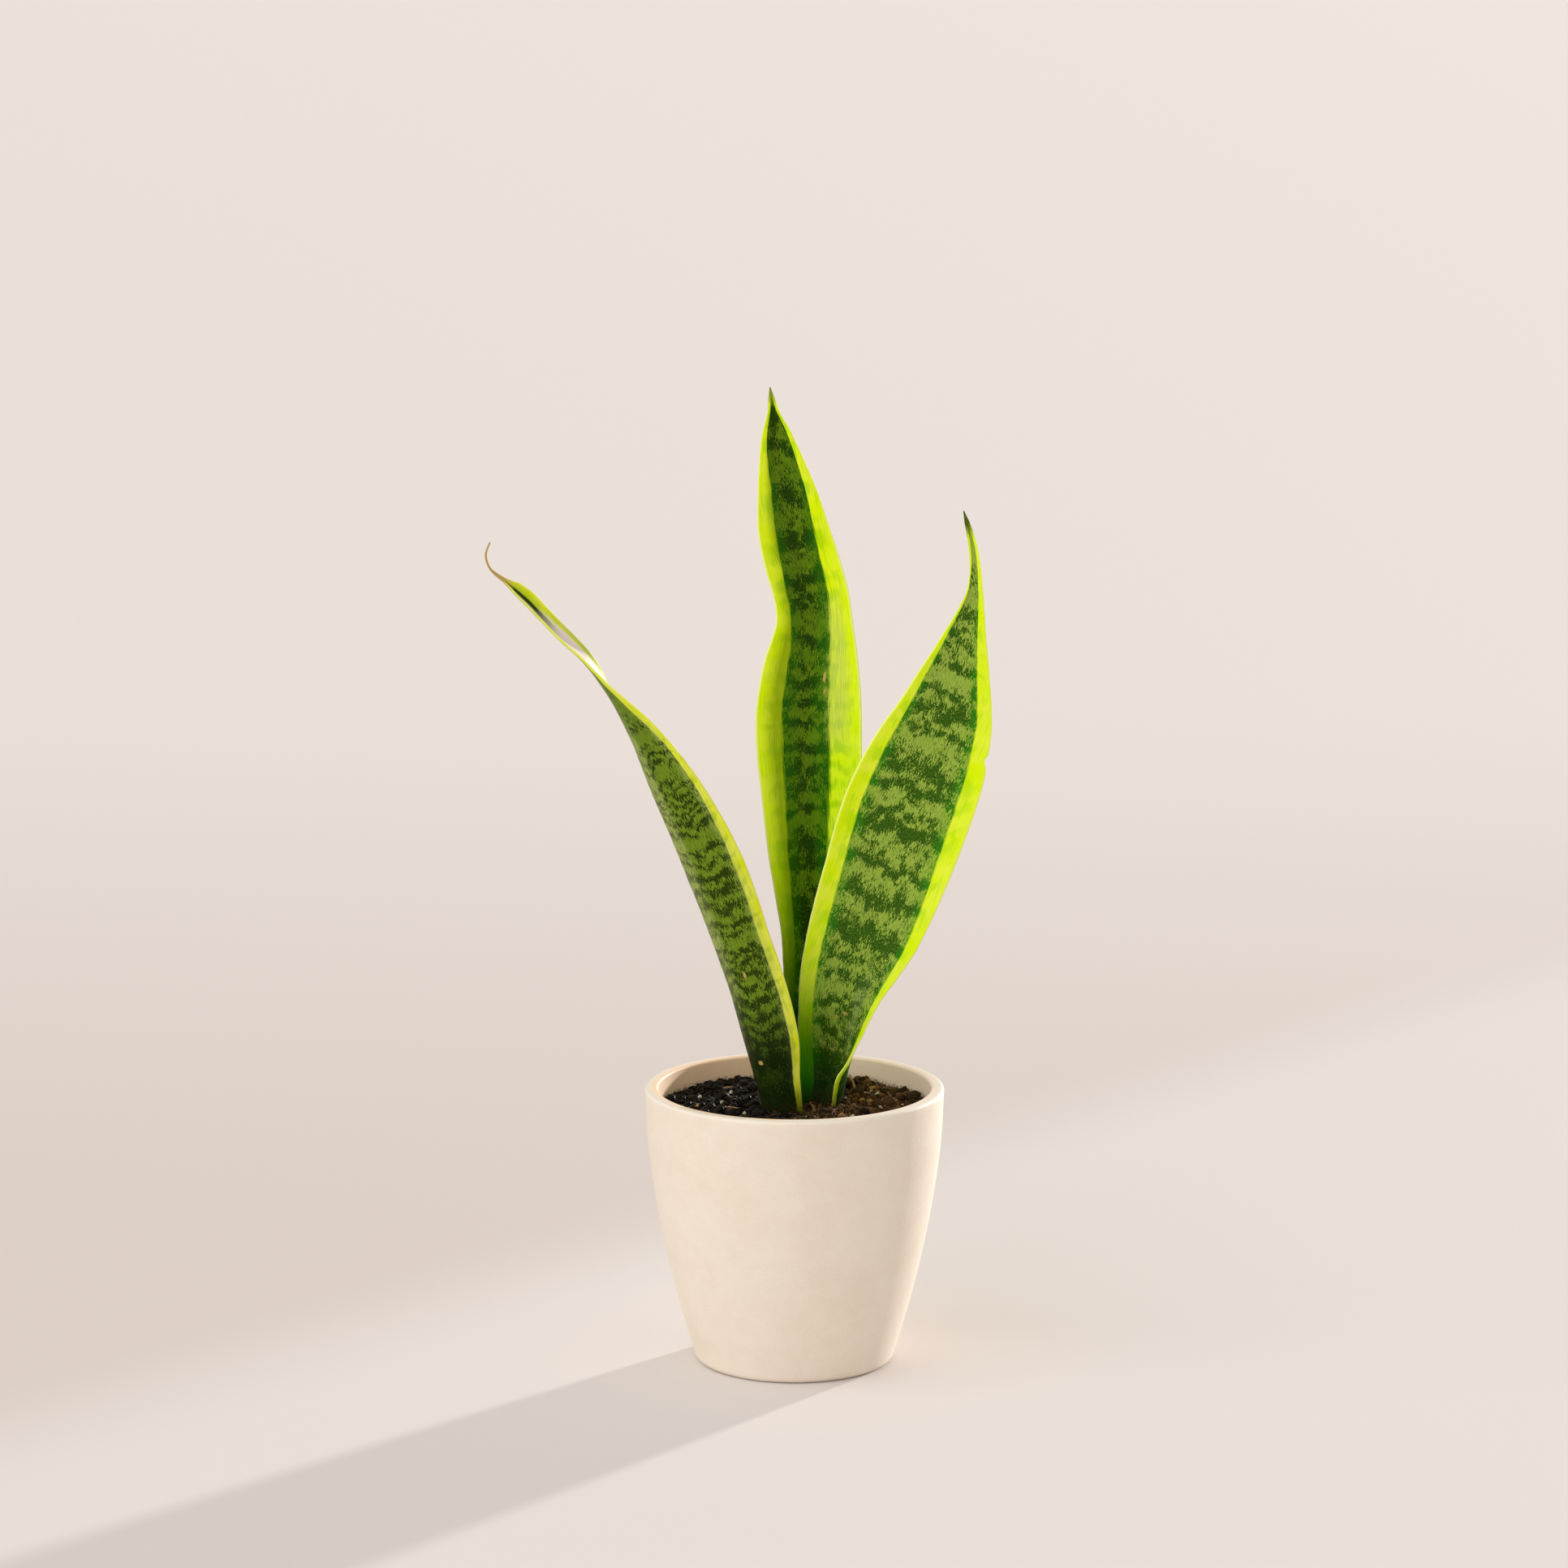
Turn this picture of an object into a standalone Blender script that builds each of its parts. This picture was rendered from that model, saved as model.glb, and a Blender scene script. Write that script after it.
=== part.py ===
"""A snake plant in a round tapered pot.

Three banded leaves stand on a short rhizome that lies buried, with its roots,
in a plug of soil. Bark chips and perlite grains lie on top of the soil.

Frame: origin at the centre of the pot's underside, +Z up, -Y to the front and
+X to the right as seen from the front. Every size is in metres.
"""

import math
import random

import bmesh
import bpy
import numpy as np
from mathutils import Matrix, Vector, noise
from mathutils.bvhtree import BVHTree

GAP = 0.0003  # clearance between two pieces that touch

# Pot: a turned shape with one wall thickness and a rounded rim
POT_HEIGHT = 0.131
RIM_RADIUS = 0.070
FOOT_RADIUS = 0.046
SIDE_SWELL = 1.75  # 1 gives a straight cone, more carries the width higher up
WALL = 0.006
FLOOR = 0.008
FOOT_ROUND = 0.004
FLOOR_ROUND = 0.007
TURN_STEPS = 40  # facets round the pot, and round the soil in it
SIDE_LEVELS = 6  # bands up a side wall
CORNER_STEPS = 3
RIM_STEPS = 6

# Soil
HEADSPACE = 0.0108  # from the rim down to the soil at the wall
MOUND = 0.0022  # how much the soil rises from the wall to the middle
LUMP = 0.0011  # height of the unevenness
LUMP_PITCH = 0.013
LUMP_PATTERN = 4.2  # picks one of the noise's many patterns
SOIL_RINGS = 6

# Crown and rhizome
CROWN_DEPTH = 0.018  # from the soil at the wall down to the crown's flat top
CROWN_CENTRE = (0.004, 0.003)
CROWN_RADIUS = 0.018
CROWN_HEIGHT = 0.014
CROWN_SIDES = 20
CROWN_SECTIONS = ((0.0, 0.55), (0.30, 0.80), (0.75, 1.0), (1.0, 0.95))  # shares of its height and radius
RHIZOME_RADIUS = 0.0095
RHIZOME_DROP = 0.012  # from the crown's top down to the rhizome's axis
RHIZOME_SIDES = 12
RHIZOME_STEPS = 3  # sections from one of its points to the next
RHIZOME_END = 0.35  # radius of its ends, as a share
RHIZOME_END_ROUND = 0.3  # how far its ends stand out, as a share of its radius
NODE_SWELL = 0.08  # how much thicker it is where its leaves once grew
RHIZOME_POINTS = ((-0.030, 0.014), (-0.016, 0.010), (0.004, 0.003), (0.022, -0.006), (0.036, -0.016))

# Roots: heading in degrees, and how far the tip stays from the wall and above the floor
ROOTS = (
    (20, 0.011, 0.029),
    (75, 0.018, 0.037),
    (130, 0.012, 0.023),
    (200, 0.008, 0.033),
    (255, 0.024, 0.025),
    (310, 0.010, 0.035),
)
ROOT_RADIUS = 0.0019
ROOT_TIP_RADIUS = 0.0008
ROOT_SPREAD = 0.020  # how far out along the rhizome the roots start
ROOT_WANDER = 0.0025
ROOT_FALL = 1.6  # above 1 a root leaves the rhizome level and dips later
ROOT_SIDES = 6
ROOT_STEPS = 9

# Leaves. Each row of a leaf's shape holds: how far up the leaf it is (a share of the rise),
# the middle's place in metres to the right and to the back, the width and the
# thickness (shares of the leaf's own), the compass heading that the inner face looks
# to (0 right, 90 back), and the fold (0 flat, 1 half round).
LEAF_THICKNESS = 0.0026
LEAF_EDGE = 0.0005  # half the thickness along a margin
EDGE_ROOM = 4  # a thin edge moves out this many times as far as a face when a leaf is swollen
RINGS_PER_ROW = 2
ACROSS = (-1.0, -0.78, -0.42, 0.0, 0.42, 0.78, 1.0)
NECK_HEIGHT = 0.004  # straight stretch of a leaf just above the crown

LEAF_LEFT = {
    "rise": 0.2700,
    "width": 0.0360,
    "neck": (-0.0020, -0.0070, 0.42, 1.30, 62, 0.50),
    "rows": (
        (0.005, -0.0050, -0.0090, 0.58, 1.30, 55, 0.50),
        (0.072, -0.0083, -0.0100, 0.72, 1.25, 53, 0.52),
        (0.124, -0.0103, -0.0110, 0.86, 1.20, 52, 0.52),
        (0.220, -0.0164, -0.0130, 0.94, 1.10, 50, 0.50),
        (0.317, -0.0251, -0.0145, 0.95, 1.05, 50, 0.48),
        (0.435, -0.0364, -0.0160, 1.00, 1.00, 50, 0.46),
        (0.524, -0.0472, -0.0170, 0.92, 0.92, 49, 0.43),
        (0.606, -0.0588, -0.0180, 0.78, 0.84, 46, 0.37),
        (0.661, -0.0672, -0.0185, 0.68, 0.76, 36, 0.30),
        (0.713, -0.0768, -0.0190, 0.62, 0.70, 22, 0.24),
        (0.761, -0.0862, -0.0195, 0.54, 0.64, 6, 0.24),
        (0.813, -0.0957, -0.0200, 0.46, 0.60, -12, 0.34),
        (0.857, -0.1070, -0.0205, 0.38, 0.56, -24, 0.48),
        (0.902, -0.1192, -0.0210, 0.28, 0.50, -30, 0.58),
        (0.938, -0.1325, -0.0212, 0.09, 0.46, -30, 0.60),
        (0.955, -0.1385, -0.0213, 0.035, 0.36, -30, 0.40),
        (0.980, -0.1405, -0.0214, 0.030, 0.34, -30, 0.40),
        (1.000, -0.1386, -0.0214, 0.022, 0.30, -30, 0.40),
    ),
}
LEAF_RIGHT = {
    "rise": 0.2845,
    "width": 0.0586,
    "neck": (0.0080, 0.0010, 0.26, 1.30, -130, 0.85),
    "rows": (
        (0.005, 0.0105, 0.0000, 0.32, 1.30, -132, 1.05),
        (0.065, 0.0112, 0.0000, 0.44, 1.20, -136, 0.97),
        (0.104, 0.0138, -0.0010, 0.50, 1.15, -122, 0.75),
        (0.153, 0.0174, -0.0030, 0.56, 1.10, -106, 0.50),
        (0.209, 0.0215, -0.0050, 0.67, 1.10, -97, 0.36),
        (0.297, 0.0314, -0.0080, 0.86, 1.05, -93, 0.28),
        (0.392, 0.0412, -0.0105, 0.95, 1.00, -92, 0.22),
        (0.497, 0.0510, -0.0130, 1.00, 1.00, -90, 0.18),
        (0.596, 0.0620, -0.0150, 0.92, 0.95, -88, 0.16),
        (0.659, 0.0685, -0.0160, 0.77, 0.92, -87, 0.16),
        (0.736, 0.0740, -0.0175, 0.53, 0.88, -87, 0.18),
        (0.810, 0.0790, -0.0190, 0.28, 0.80, -88, 0.25),
        (0.873, 0.0823, -0.0200, 0.11, 0.60, -90, 0.35),
        (0.940, 0.0812, -0.0210, 0.06, 0.42, -90, 0.40),
        (1.000, 0.0768, -0.0220, 0.018, 0.32, -90, 0.40),
    ),
}
LEAF_CENTRE = {
    "rise": 0.3380,
    "width": 0.0482,
    "neck": (0.0040, 0.0130, 0.32, 1.30, -90, 0.30),
    "rows": (
        (0.005, 0.0050, 0.0150, 0.38, 1.30, -90, 0.32),
        (0.117, 0.0080, 0.0155, 0.52, 1.20, -90, 0.32),
        (0.235, 0.0110, 0.0155, 0.70, 1.10, -89, 0.30),
        (0.353, 0.0095, 0.0150, 0.89, 1.05, -88, 0.26),
        (0.430, 0.0080, 0.0145, 0.95, 1.00, -88, 0.22),
        (0.558, 0.0067, 0.0135, 1.00, 1.00, -89, 0.20),
        (0.620, 0.0081, 0.0130, 0.89, 0.98, -91, 0.24),
        (0.673, 0.0093, 0.0125, 0.73, 0.96, -94, 0.30),
        (0.709, 0.0080, 0.0120, 0.705, 0.94, -95, 0.30),
        (0.759, 0.0034, 0.0110, 0.70, 0.90, -93, 0.26),
        (0.803, -0.0005, 0.0100, 0.665, 0.88, -91, 0.22),
        (0.848, -0.0032, 0.0090, 0.57, 0.84, -90, 0.20),
        (0.895, -0.0061, 0.0080, 0.42, 0.78, -90, 0.20),
        (0.942, -0.0087, 0.0070, 0.235, 0.66, -90, 0.22),
        (0.966, -0.0098, 0.0065, 0.10, 0.50, -90, 0.25),
        (1.000, -0.0113, 0.0060, 0.018, 0.32, -90, 0.30),
    ),
}

# Loose pieces on the soil: place to the right and to the back, length, heading in degrees
BARK_CHIPS = (
    (-0.0310, 0.0300, 0.0075, 5),
    (-0.0255, 0.0400, 0.0060, 30),
    (-0.0450, -0.0060, 0.0055, 65),
    (-0.0290, -0.0120, 0.0062, -30),
    (0.0330, 0.0230, 0.0080, -25),
    (0.0450, 0.0060, 0.0070, -15),
    (0.0350, -0.0150, 0.0055, 40),
    (0.0050, 0.0420, 0.0070, 80),
)
CHIP_WIDTH_SHARE = 0.42
CHIP_THICKNESS = 0.0016
CHIP_CORNERS = 14
CHIP_SEED = 100
PERLITE_GRAINS = (
    (-0.0300, 0.0170, 0.0013),
    (-0.0340, -0.0030, 0.0012),
    (-0.0445, 0.0135, 0.0011),
    (-0.0230, -0.0250, 0.0013),
    (0.0285, 0.0290, 0.0012),
    (0.0390, 0.0140, 0.0015),
    (0.0245, 0.0090, 0.0011),
    (0.0400, -0.0080, 0.0013),
    (0.0270, -0.0260, 0.0014),
    (-0.0050, 0.0480, 0.0012),
)
GRAIN_CORNERS = 18
GRAIN_SEED = 200
REST_STEPS = 6  # places looked at from a loose piece's middle to its end, to see what it rests on

SOIL_LEVEL = POT_HEIGHT - HEADSPACE
CROWN_TOP = SOIL_LEVEL - CROWN_DEPTH


def clear_scene():
    for leftover in list(bpy.data.objects):
        bpy.data.objects.remove(leftover, do_unlink=True)


def finish_material(name, colour, roughness):
    """One plain Principled material for one finish."""
    material = bpy.data.materials.new(name)
    material.use_nodes = True
    shader = material.node_tree.nodes["Principled BSDF"]
    shader.inputs["Base Color"].default_value = (*colour, 1.0)
    shader.inputs["Roughness"].default_value = roughness
    shader.inputs["Metallic"].default_value = 0.0
    return material


def object_from(name, mesh_data, material=None, smooth_angle=None):
    """Turn a bmesh into an object of the scene, with its faces pointing out."""
    bmesh.ops.recalc_face_normals(mesh_data, faces=mesh_data.faces)
    mesh = bpy.data.meshes.new(name)
    mesh_data.to_mesh(mesh)
    mesh_data.free()
    if smooth_angle is not None:
        mesh.shade_smooth()
        mesh.set_sharp_from_angle(angle=math.radians(smooth_angle))
    piece = bpy.data.objects.new(name, mesh)
    if material:
        mesh.materials.append(material)
    bpy.context.collection.objects.link(piece)
    return piece


def make_cutter(piece):
    piece.hide_render = True
    piece.display_type = "WIRE"
    return piece


def cut(piece, cutters):
    """Take the cutters out of the piece, one exact Boolean for each."""
    for cutter in cutters:
        boolean = piece.modifiers.new("cut_" + cutter.name, "BOOLEAN")
        boolean.operation = "DIFFERENCE"
        boolean.solver = "EXACT"
        boolean.object = cutter


def ring_of(radius, height, steps=TURN_STEPS):
    """Points of one level ring round the pot's axis."""
    angles = [2 * math.pi * step / steps for step in range(steps)]
    return [Vector((radius * math.cos(a), radius * math.sin(a), height)) for a in angles]


def loft(rings, pole_start=None, pole_end=None):
    """Skin a list of rings of equal count. A pole closes an end in a fan, else one flat face does."""
    skin = bmesh.new()
    loops = [[skin.verts.new(point) for point in ring] for ring in rings]
    count = len(loops[0])
    for low, high in zip(loops, loops[1:]):
        for i in range(count):
            j = (i + 1) % count
            skin.faces.new((low[i], low[j], high[j], high[i]))
    for loop, pole in ((loops[0], pole_start), (loops[-1], pole_end)):
        if pole is None:
            skin.faces.new(loop)
            continue
        tip = skin.verts.new(pole)
        for i in range(count):
            skin.faces.new((loop[i], loop[(i + 1) % count], tip))
    return skin


# --- Pot ---------------------------------------------------------------------


def side_radius(height):
    """Radius of the pot's outer side at a height."""
    left = max(0.0, 1.0 - height / POT_HEIGHT)
    return RIM_RADIUS - (RIM_RADIUS - FOOT_RADIUS) * left**SIDE_SWELL


def inner_radius(height):
    return side_radius(height) - WALL


def rounded_corner(radius_at, base, rounding, steps=CORNER_STEPS):
    """Arc from a level base up into a wall: (radius, height) points, base end first."""
    top = base + rounding
    centre = radius_at(top) - rounding
    points = []
    for step in range(steps + 1):
        angle = math.pi / 2 * step / steps
        points.append((centre + rounding * math.sin(angle), top - rounding * math.cos(angle)))
    return points


def levels_between(low, high, count):
    return [low + (high - low) * step / count for step in range(1, count)]


def pot_profile():
    """(radius, height) from the middle of the floor, over the rim, to the middle of the underside."""
    rim_round = WALL / 2
    rim_base = POT_HEIGHT - rim_round
    inside = rounded_corner(inner_radius, FLOOR, FLOOR_ROUND)
    for height in levels_between(FLOOR + FLOOR_ROUND, rim_base, SIDE_LEVELS):
        inside.append((inner_radius(height), height))
    rim_centre = side_radius(rim_base) - rim_round
    rim = []
    for step in range(RIM_STEPS + 1):
        angle = math.pi * (1 - step / RIM_STEPS)
        rim.append((rim_centre + rim_round * math.cos(angle), rim_base + rim_round * math.sin(angle)))
    outside = rounded_corner(side_radius, 0.0, FOOT_ROUND)
    for height in levels_between(FOOT_ROUND, rim_base, SIDE_LEVELS):
        outside.append((side_radius(height), height))
    return [(0.0, FLOOR)] + inside + rim + outside[::-1] + [(0.0, 0.0)]


def make_pot(material):
    outline = bmesh.new()
    points = [outline.verts.new((radius, 0.0, height)) for radius, height in pot_profile()]
    for first, second in zip(points, points[1:]):
        outline.edges.new((first, second))
    mesh = bpy.data.meshes.new("pot")
    outline.to_mesh(mesh)
    outline.free()
    mesh.materials.append(material)
    pot = bpy.data.objects.new("pot", mesh)
    bpy.context.collection.objects.link(pot)
    turn = pot.modifiers.new("turn", "SCREW")
    turn.axis = "Z"
    turn.angle = 2 * math.pi
    turn.screw_offset = 0.0
    turn.steps = TURN_STEPS
    turn.render_steps = TURN_STEPS
    turn.use_merge_vertices = True
    turn.merge_threshold = 0.00005
    turn.use_smooth_shade = True
    return pot


# --- Leaves ------------------------------------------------------------------


def smooth_between(rows, per_row):
    """Rows of numbers with smooth rows put in between, by the distance between their places."""
    rows = np.array(rows, dtype=float)
    run = np.r_[0.0, np.cumsum(np.linalg.norm(np.diff(rows[:, :3], axis=0), axis=1))]
    slopes = np.gradient(rows, run, axis=0)
    result = []
    for i in range(len(rows) - 1):
        length = run[i + 1] - run[i]
        for step in range(per_row):
            t = step / per_row
            result.append(
                rows[i] * (1 + 2 * t) * (1 - t) ** 2
                + slopes[i] * length * t * (1 - t) ** 2
                + rows[i + 1] * t * t * (3 - 2 * t)
                + slopes[i + 1] * length * t * t * (t - 1)
            )
    result.append(rows[-1])
    return np.array(result)


def leaf_stations(leaf):
    """Places up the leaf as (x, y, z, half width, thickness, heading, fold)."""
    x, y, width, thick, heading, fold = leaf["neck"]
    half = leaf["width"] / 2
    low = CROWN_TOP + GAP
    neck = [
        (x, y, low, width * half, thick * LEAF_THICKNESS, heading, fold),
        (x, y, low + NECK_HEIGHT, width * half, thick * LEAF_THICKNESS, heading, fold),
    ]
    blade = [
        (x, y, SOIL_LEVEL + share * leaf["rise"], width * half, thick * LEAF_THICKNESS, heading, fold)
        for share, x, y, width, thick, heading, fold in leaf["rows"]
    ]
    return smooth_between(neck + blade, RINGS_PER_ROW)


def leaf_rings(leaf, grow=0.0):
    """Cross sections from the crown to the tip: the inner face left to right, then the outer face back."""
    stations = leaf_stations(leaf)
    places = stations[:, :3]
    directions = np.gradient(places, axis=0)
    directions[0] = (0.0, 0.0, 1.0)
    rings = []
    for (x, y, z, half, thick, heading, fold), direction in zip(stations, directions):
        along = Vector(direction).normalized()
        looks = Vector((math.cos(math.radians(heading)), math.sin(math.radians(heading)), 0.0))
        facing = (looks - along * looks.dot(along)).normalized()
        sideways = along.cross(facing)
        reach = 2 * math.atan(fold)  # half of the angle that the folded section spans
        bend = half / math.sin(reach)
        centre = Vector((x, y, z)) + facing * (bend * math.cos(reach))
        inner, outer = [], []
        for share in ACROSS:
            angle = share * reach
            out = sideways * math.sin(angle) - facing * math.cos(angle)
            middle = centre + out * bend
            depth = LEAF_EDGE + (thick / 2 - LEAF_EDGE) * (1 - share * share) + grow
            if abs(share) == 1.0:
                edgewards = sideways * math.cos(angle) + facing * math.sin(angle)
                inner.append(middle + edgewards * share * (LEAF_EDGE + EDGE_ROOM * grow))
                continue
            inner.append(middle - out * depth)
            outer.append(middle + out * depth)
        rings.append(inner + outer[::-1])
    return rings


def skin_of_leaf(rings):
    """Close a stack of leaf rings, with the two ends filled straight across from face to face."""
    skin = bmesh.new()
    loops = [[skin.verts.new(point) for point in ring] for ring in rings]
    count = len(loops[0])
    for low, high in zip(loops, loops[1:]):
        for i in range(count):
            j = (i + 1) % count
            skin.faces.new((low[i], low[j], high[j], high[i]))
    last = len(ACROSS) - 1
    for loop in (loops[0], loops[-1]):
        for i in range(last):
            corners = (loop[i], loop[i + 1], loop[-(i + 1)], loop[-i] if i else loop[i])
            skin.faces.new(tuple(dict.fromkeys(corners)))
    return skin


def make_leaf(name, leaf, material):
    return object_from(name, skin_of_leaf(leaf_rings(leaf)), material, smooth_angle=60)


def leaf_base_cutter(name, leaf):
    """The buried foot of a leaf, swollen by the gap and carried just past the soil's top and the crown."""
    top = SOIL_LEVEL + MOUND + 4 * LUMP
    rings = leaf_rings(leaf, GAP)
    count = 1 + sum(min(point.z for point in ring) < top for ring in rings)
    rings[0] = [point - Vector((0.0, 0.0, 2 * GAP)) for point in rings[0]]
    return make_cutter(object_from("space_for_" + name, skin_of_leaf(rings[:count])))


# --- Rhizome and roots -------------------------------------------------------


def rhizome_axis():
    """The lying stem's axis, level below the crown."""
    height = CROWN_TOP - RHIZOME_DROP
    rows = [(x, y, height) for x, y in RHIZOME_POINTS]
    return [Vector(row) for row in smooth_between(rows, RHIZOME_STEPS)]


def tube_rings(points, radii, sides):
    """Round sections square to a line of points, carried along it without a twist."""
    rings = []
    side = None
    for i, point in enumerate(points):
        ahead = (points[min(i + 1, len(points) - 1)] - points[max(i - 1, 0)]).normalized()
        side = side or ahead.orthogonal()
        side = (side - ahead * side.dot(ahead)).normalized()
        up = ahead.cross(side)
        angles = [2 * math.pi * step / sides for step in range(sides)]
        rings.append([point + (side * math.cos(a) + up * math.sin(a)) * radii[i] for a in angles])
    return rings


def rhizome_shape(name, grow=0.0):
    """The lying stem with rounded ends, swollen at its nodes, joined with the crown above it."""
    points = rhizome_axis()
    last = len(points) - 1
    radii = []
    for i in range(last + 1):
        taper = math.sqrt(max(0.0, 1 - (2 * i / last - 1) ** 6))
        swell = 1.0 + NODE_SWELL * math.cos(2 * math.pi * i / RHIZOME_STEPS)
        radii.append(RHIZOME_RADIUS * (RHIZOME_END + (1 - RHIZOME_END) * taper) * swell + grow)
    end_round = RHIZOME_RADIUS * RHIZOME_END_ROUND + grow
    front = points[-1] + (points[-1] - points[-2]).normalized() * end_round
    back = points[0] + (points[0] - points[1]).normalized() * end_round
    stem = loft(tube_rings(points, radii, RHIZOME_SIDES), back, front)
    piece = object_from(name, stem)
    foot = CROWN_TOP - CROWN_HEIGHT - grow
    rings = []
    for rise, share in CROWN_SECTIONS:
        height = foot + rise * (CROWN_HEIGHT + 2 * grow)
        ring = ring_of(CROWN_RADIUS * share + grow, height, CROWN_SIDES)
        rings.append([point + Vector((*CROWN_CENTRE, 0.0)) for point in ring])
    crown = make_cutter(object_from("crown_of_" + name, loft(rings)))
    join = piece.modifiers.new("join_crown", "BOOLEAN")
    join.operation = "UNION"
    join.solver = "EXACT"
    join.object = crown
    return piece


def reach_to(start, heading, radius):
    """Level distance from a place along a heading to a circle round the pot's axis."""
    along = start.xy.dot(heading)
    return -along + math.sqrt(along**2 - start.xy.length_squared + radius**2)


def root_rings(index, grow=0.0):
    """One root from inside the rhizome out and down, thinning to its tip."""
    degrees, from_wall, from_floor = ROOTS[index]
    heading = Vector((math.cos(math.radians(degrees)), math.sin(math.radians(degrees))))
    start = min(rhizome_axis(), key=lambda point: (point.xy - heading * ROOT_SPREAD).length)
    tip_height = FLOOR + from_floor
    reach = reach_to(start, heading, inner_radius(tip_height) - from_wall)
    points, radii = [], []
    for step in range(ROOT_STEPS):
        t = step / (ROOT_STEPS - 1)
        out = reach * math.sin(t * math.pi / 2)
        wander = ROOT_WANDER * t * math.sin(3 * math.pi * t + index)
        level = start.xy + heading * out + heading.orthogonal() * wander
        points.append(Vector((*level, start.z - (start.z - tip_height) * t**ROOT_FALL)))
        radii.append(ROOT_RADIUS + (ROOT_TIP_RADIUS - ROOT_RADIUS) * t + grow)
    ahead = (points[-1] - points[-2]).normalized()
    return tube_rings(points, radii, ROOT_SIDES), points[-1] + ahead * (ROOT_TIP_RADIUS + grow)


def make_root(index, material, swollen_rhizome):
    rings, tip = root_rings(index)
    root = object_from(f"root_{index + 1}", loft(rings, pole_end=tip), material, smooth_angle=50)
    cut(root, [swollen_rhizome])
    return root


def root_cutter(index):
    rings, tip = root_rings(index, GAP)
    return make_cutter(object_from(f"space_for_root_{index + 1}", loft(rings, pole_end=tip)))


# --- Soil --------------------------------------------------------------------


def soil_height(x, y):
    """Height of the uneven soil: level at the wall, a low mound in the middle."""
    share = min(1.0, math.hypot(x, y) / inner_radius(SOIL_LEVEL))
    lump = noise.noise(Vector((x / LUMP_PITCH, y / LUMP_PITCH, LUMP_PATTERN)))
    return SOIL_LEVEL + MOUND * (1 - share * share) + 2 * LUMP * lump


def make_soil(material, cutters):
    def wall_radius(height):
        return inner_radius(height) - GAP

    base = FLOOR + GAP
    corner = rounded_corner(wall_radius, base, FLOOR_ROUND)
    rings = [ring_of(radius, height) for radius, height in corner]
    for height in levels_between(base + FLOOR_ROUND, SOIL_LEVEL, SIDE_LEVELS):
        rings.append(ring_of(wall_radius(height), height))
    rim = wall_radius(SOIL_LEVEL - 2 * LUMP)
    for step in range(SOIL_RINGS):
        ring = ring_of(rim * (1 - step / SOIL_RINGS), 0.0)
        rings.append([Vector((p.x, p.y, soil_height(p.x, p.y))) for p in ring])
    middle = Vector((0.0, 0.0, soil_height(0.0, 0.0)))
    soil = object_from("soil", loft(rings, Vector((0.0, 0.0, base)), middle), material)
    cut(soil, cutters)
    return soil


# --- Loose pieces on the soil ------------------------------------------------


def evaluated_surface(piece):
    bpy.context.view_layer.update()
    return BVHTree.FromObject(piece, bpy.context.evaluated_depsgraph_get())


def pebble(seed, size, corners):
    """Convex lump with seeded corners inside a box of the given size."""
    chance = random.Random(seed)
    lump = bmesh.new()
    for _ in range(corners):
        spot = Vector((chance.gauss(0, 1), chance.gauss(0, 1), chance.gauss(0, 1))).normalized()
        lump.verts.new((spot.x * size[0] / 2, spot.y * size[1] / 2, spot.z * size[2] / 2))
    hull = bmesh.ops.convex_hull(lump, input=lump.verts)
    spare = [item for item in hull["geom_interior"] if isinstance(item, bmesh.types.BMVert)]
    bmesh.ops.delete(lump, geom=spare, context="VERTS")
    return lump


def lay_on_soil(name, lump, x, y, heading, material, surface):
    """Turn a lump, move it over its place and lower it until it is one gap above the soil."""
    turn = Matrix.Rotation(math.radians(heading), 4, "Z")
    lump.transform(Matrix.Translation((x, y, POT_HEIGHT)) @ turn)
    skin = BVHTree.FromBMesh(lump)
    underside = [vert.co.copy() for vert in lump.verts]
    span = max((point.xy - Vector((x, y))).length for point in underside)
    for i in range(-REST_STEPS, REST_STEPS + 1):
        for j in range(-REST_STEPS, REST_STEPS + 1):
            below = Vector((x + span * i / REST_STEPS, y + span * j / REST_STEPS, SOIL_LEVEL))
            point = skin.ray_cast(below, Vector((0.0, 0.0, 1.0)))[0]
            if point is not None:
                underside.append(point)
    falls = [surface.ray_cast(point, Vector((0.0, 0.0, -1.0)))[3] for point in underside]
    fall = min(distance for distance in falls if distance is not None) - GAP
    bmesh.ops.translate(lump, verts=lump.verts, vec=(0.0, 0.0, -fall))
    return object_from(name, lump, material)


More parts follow.
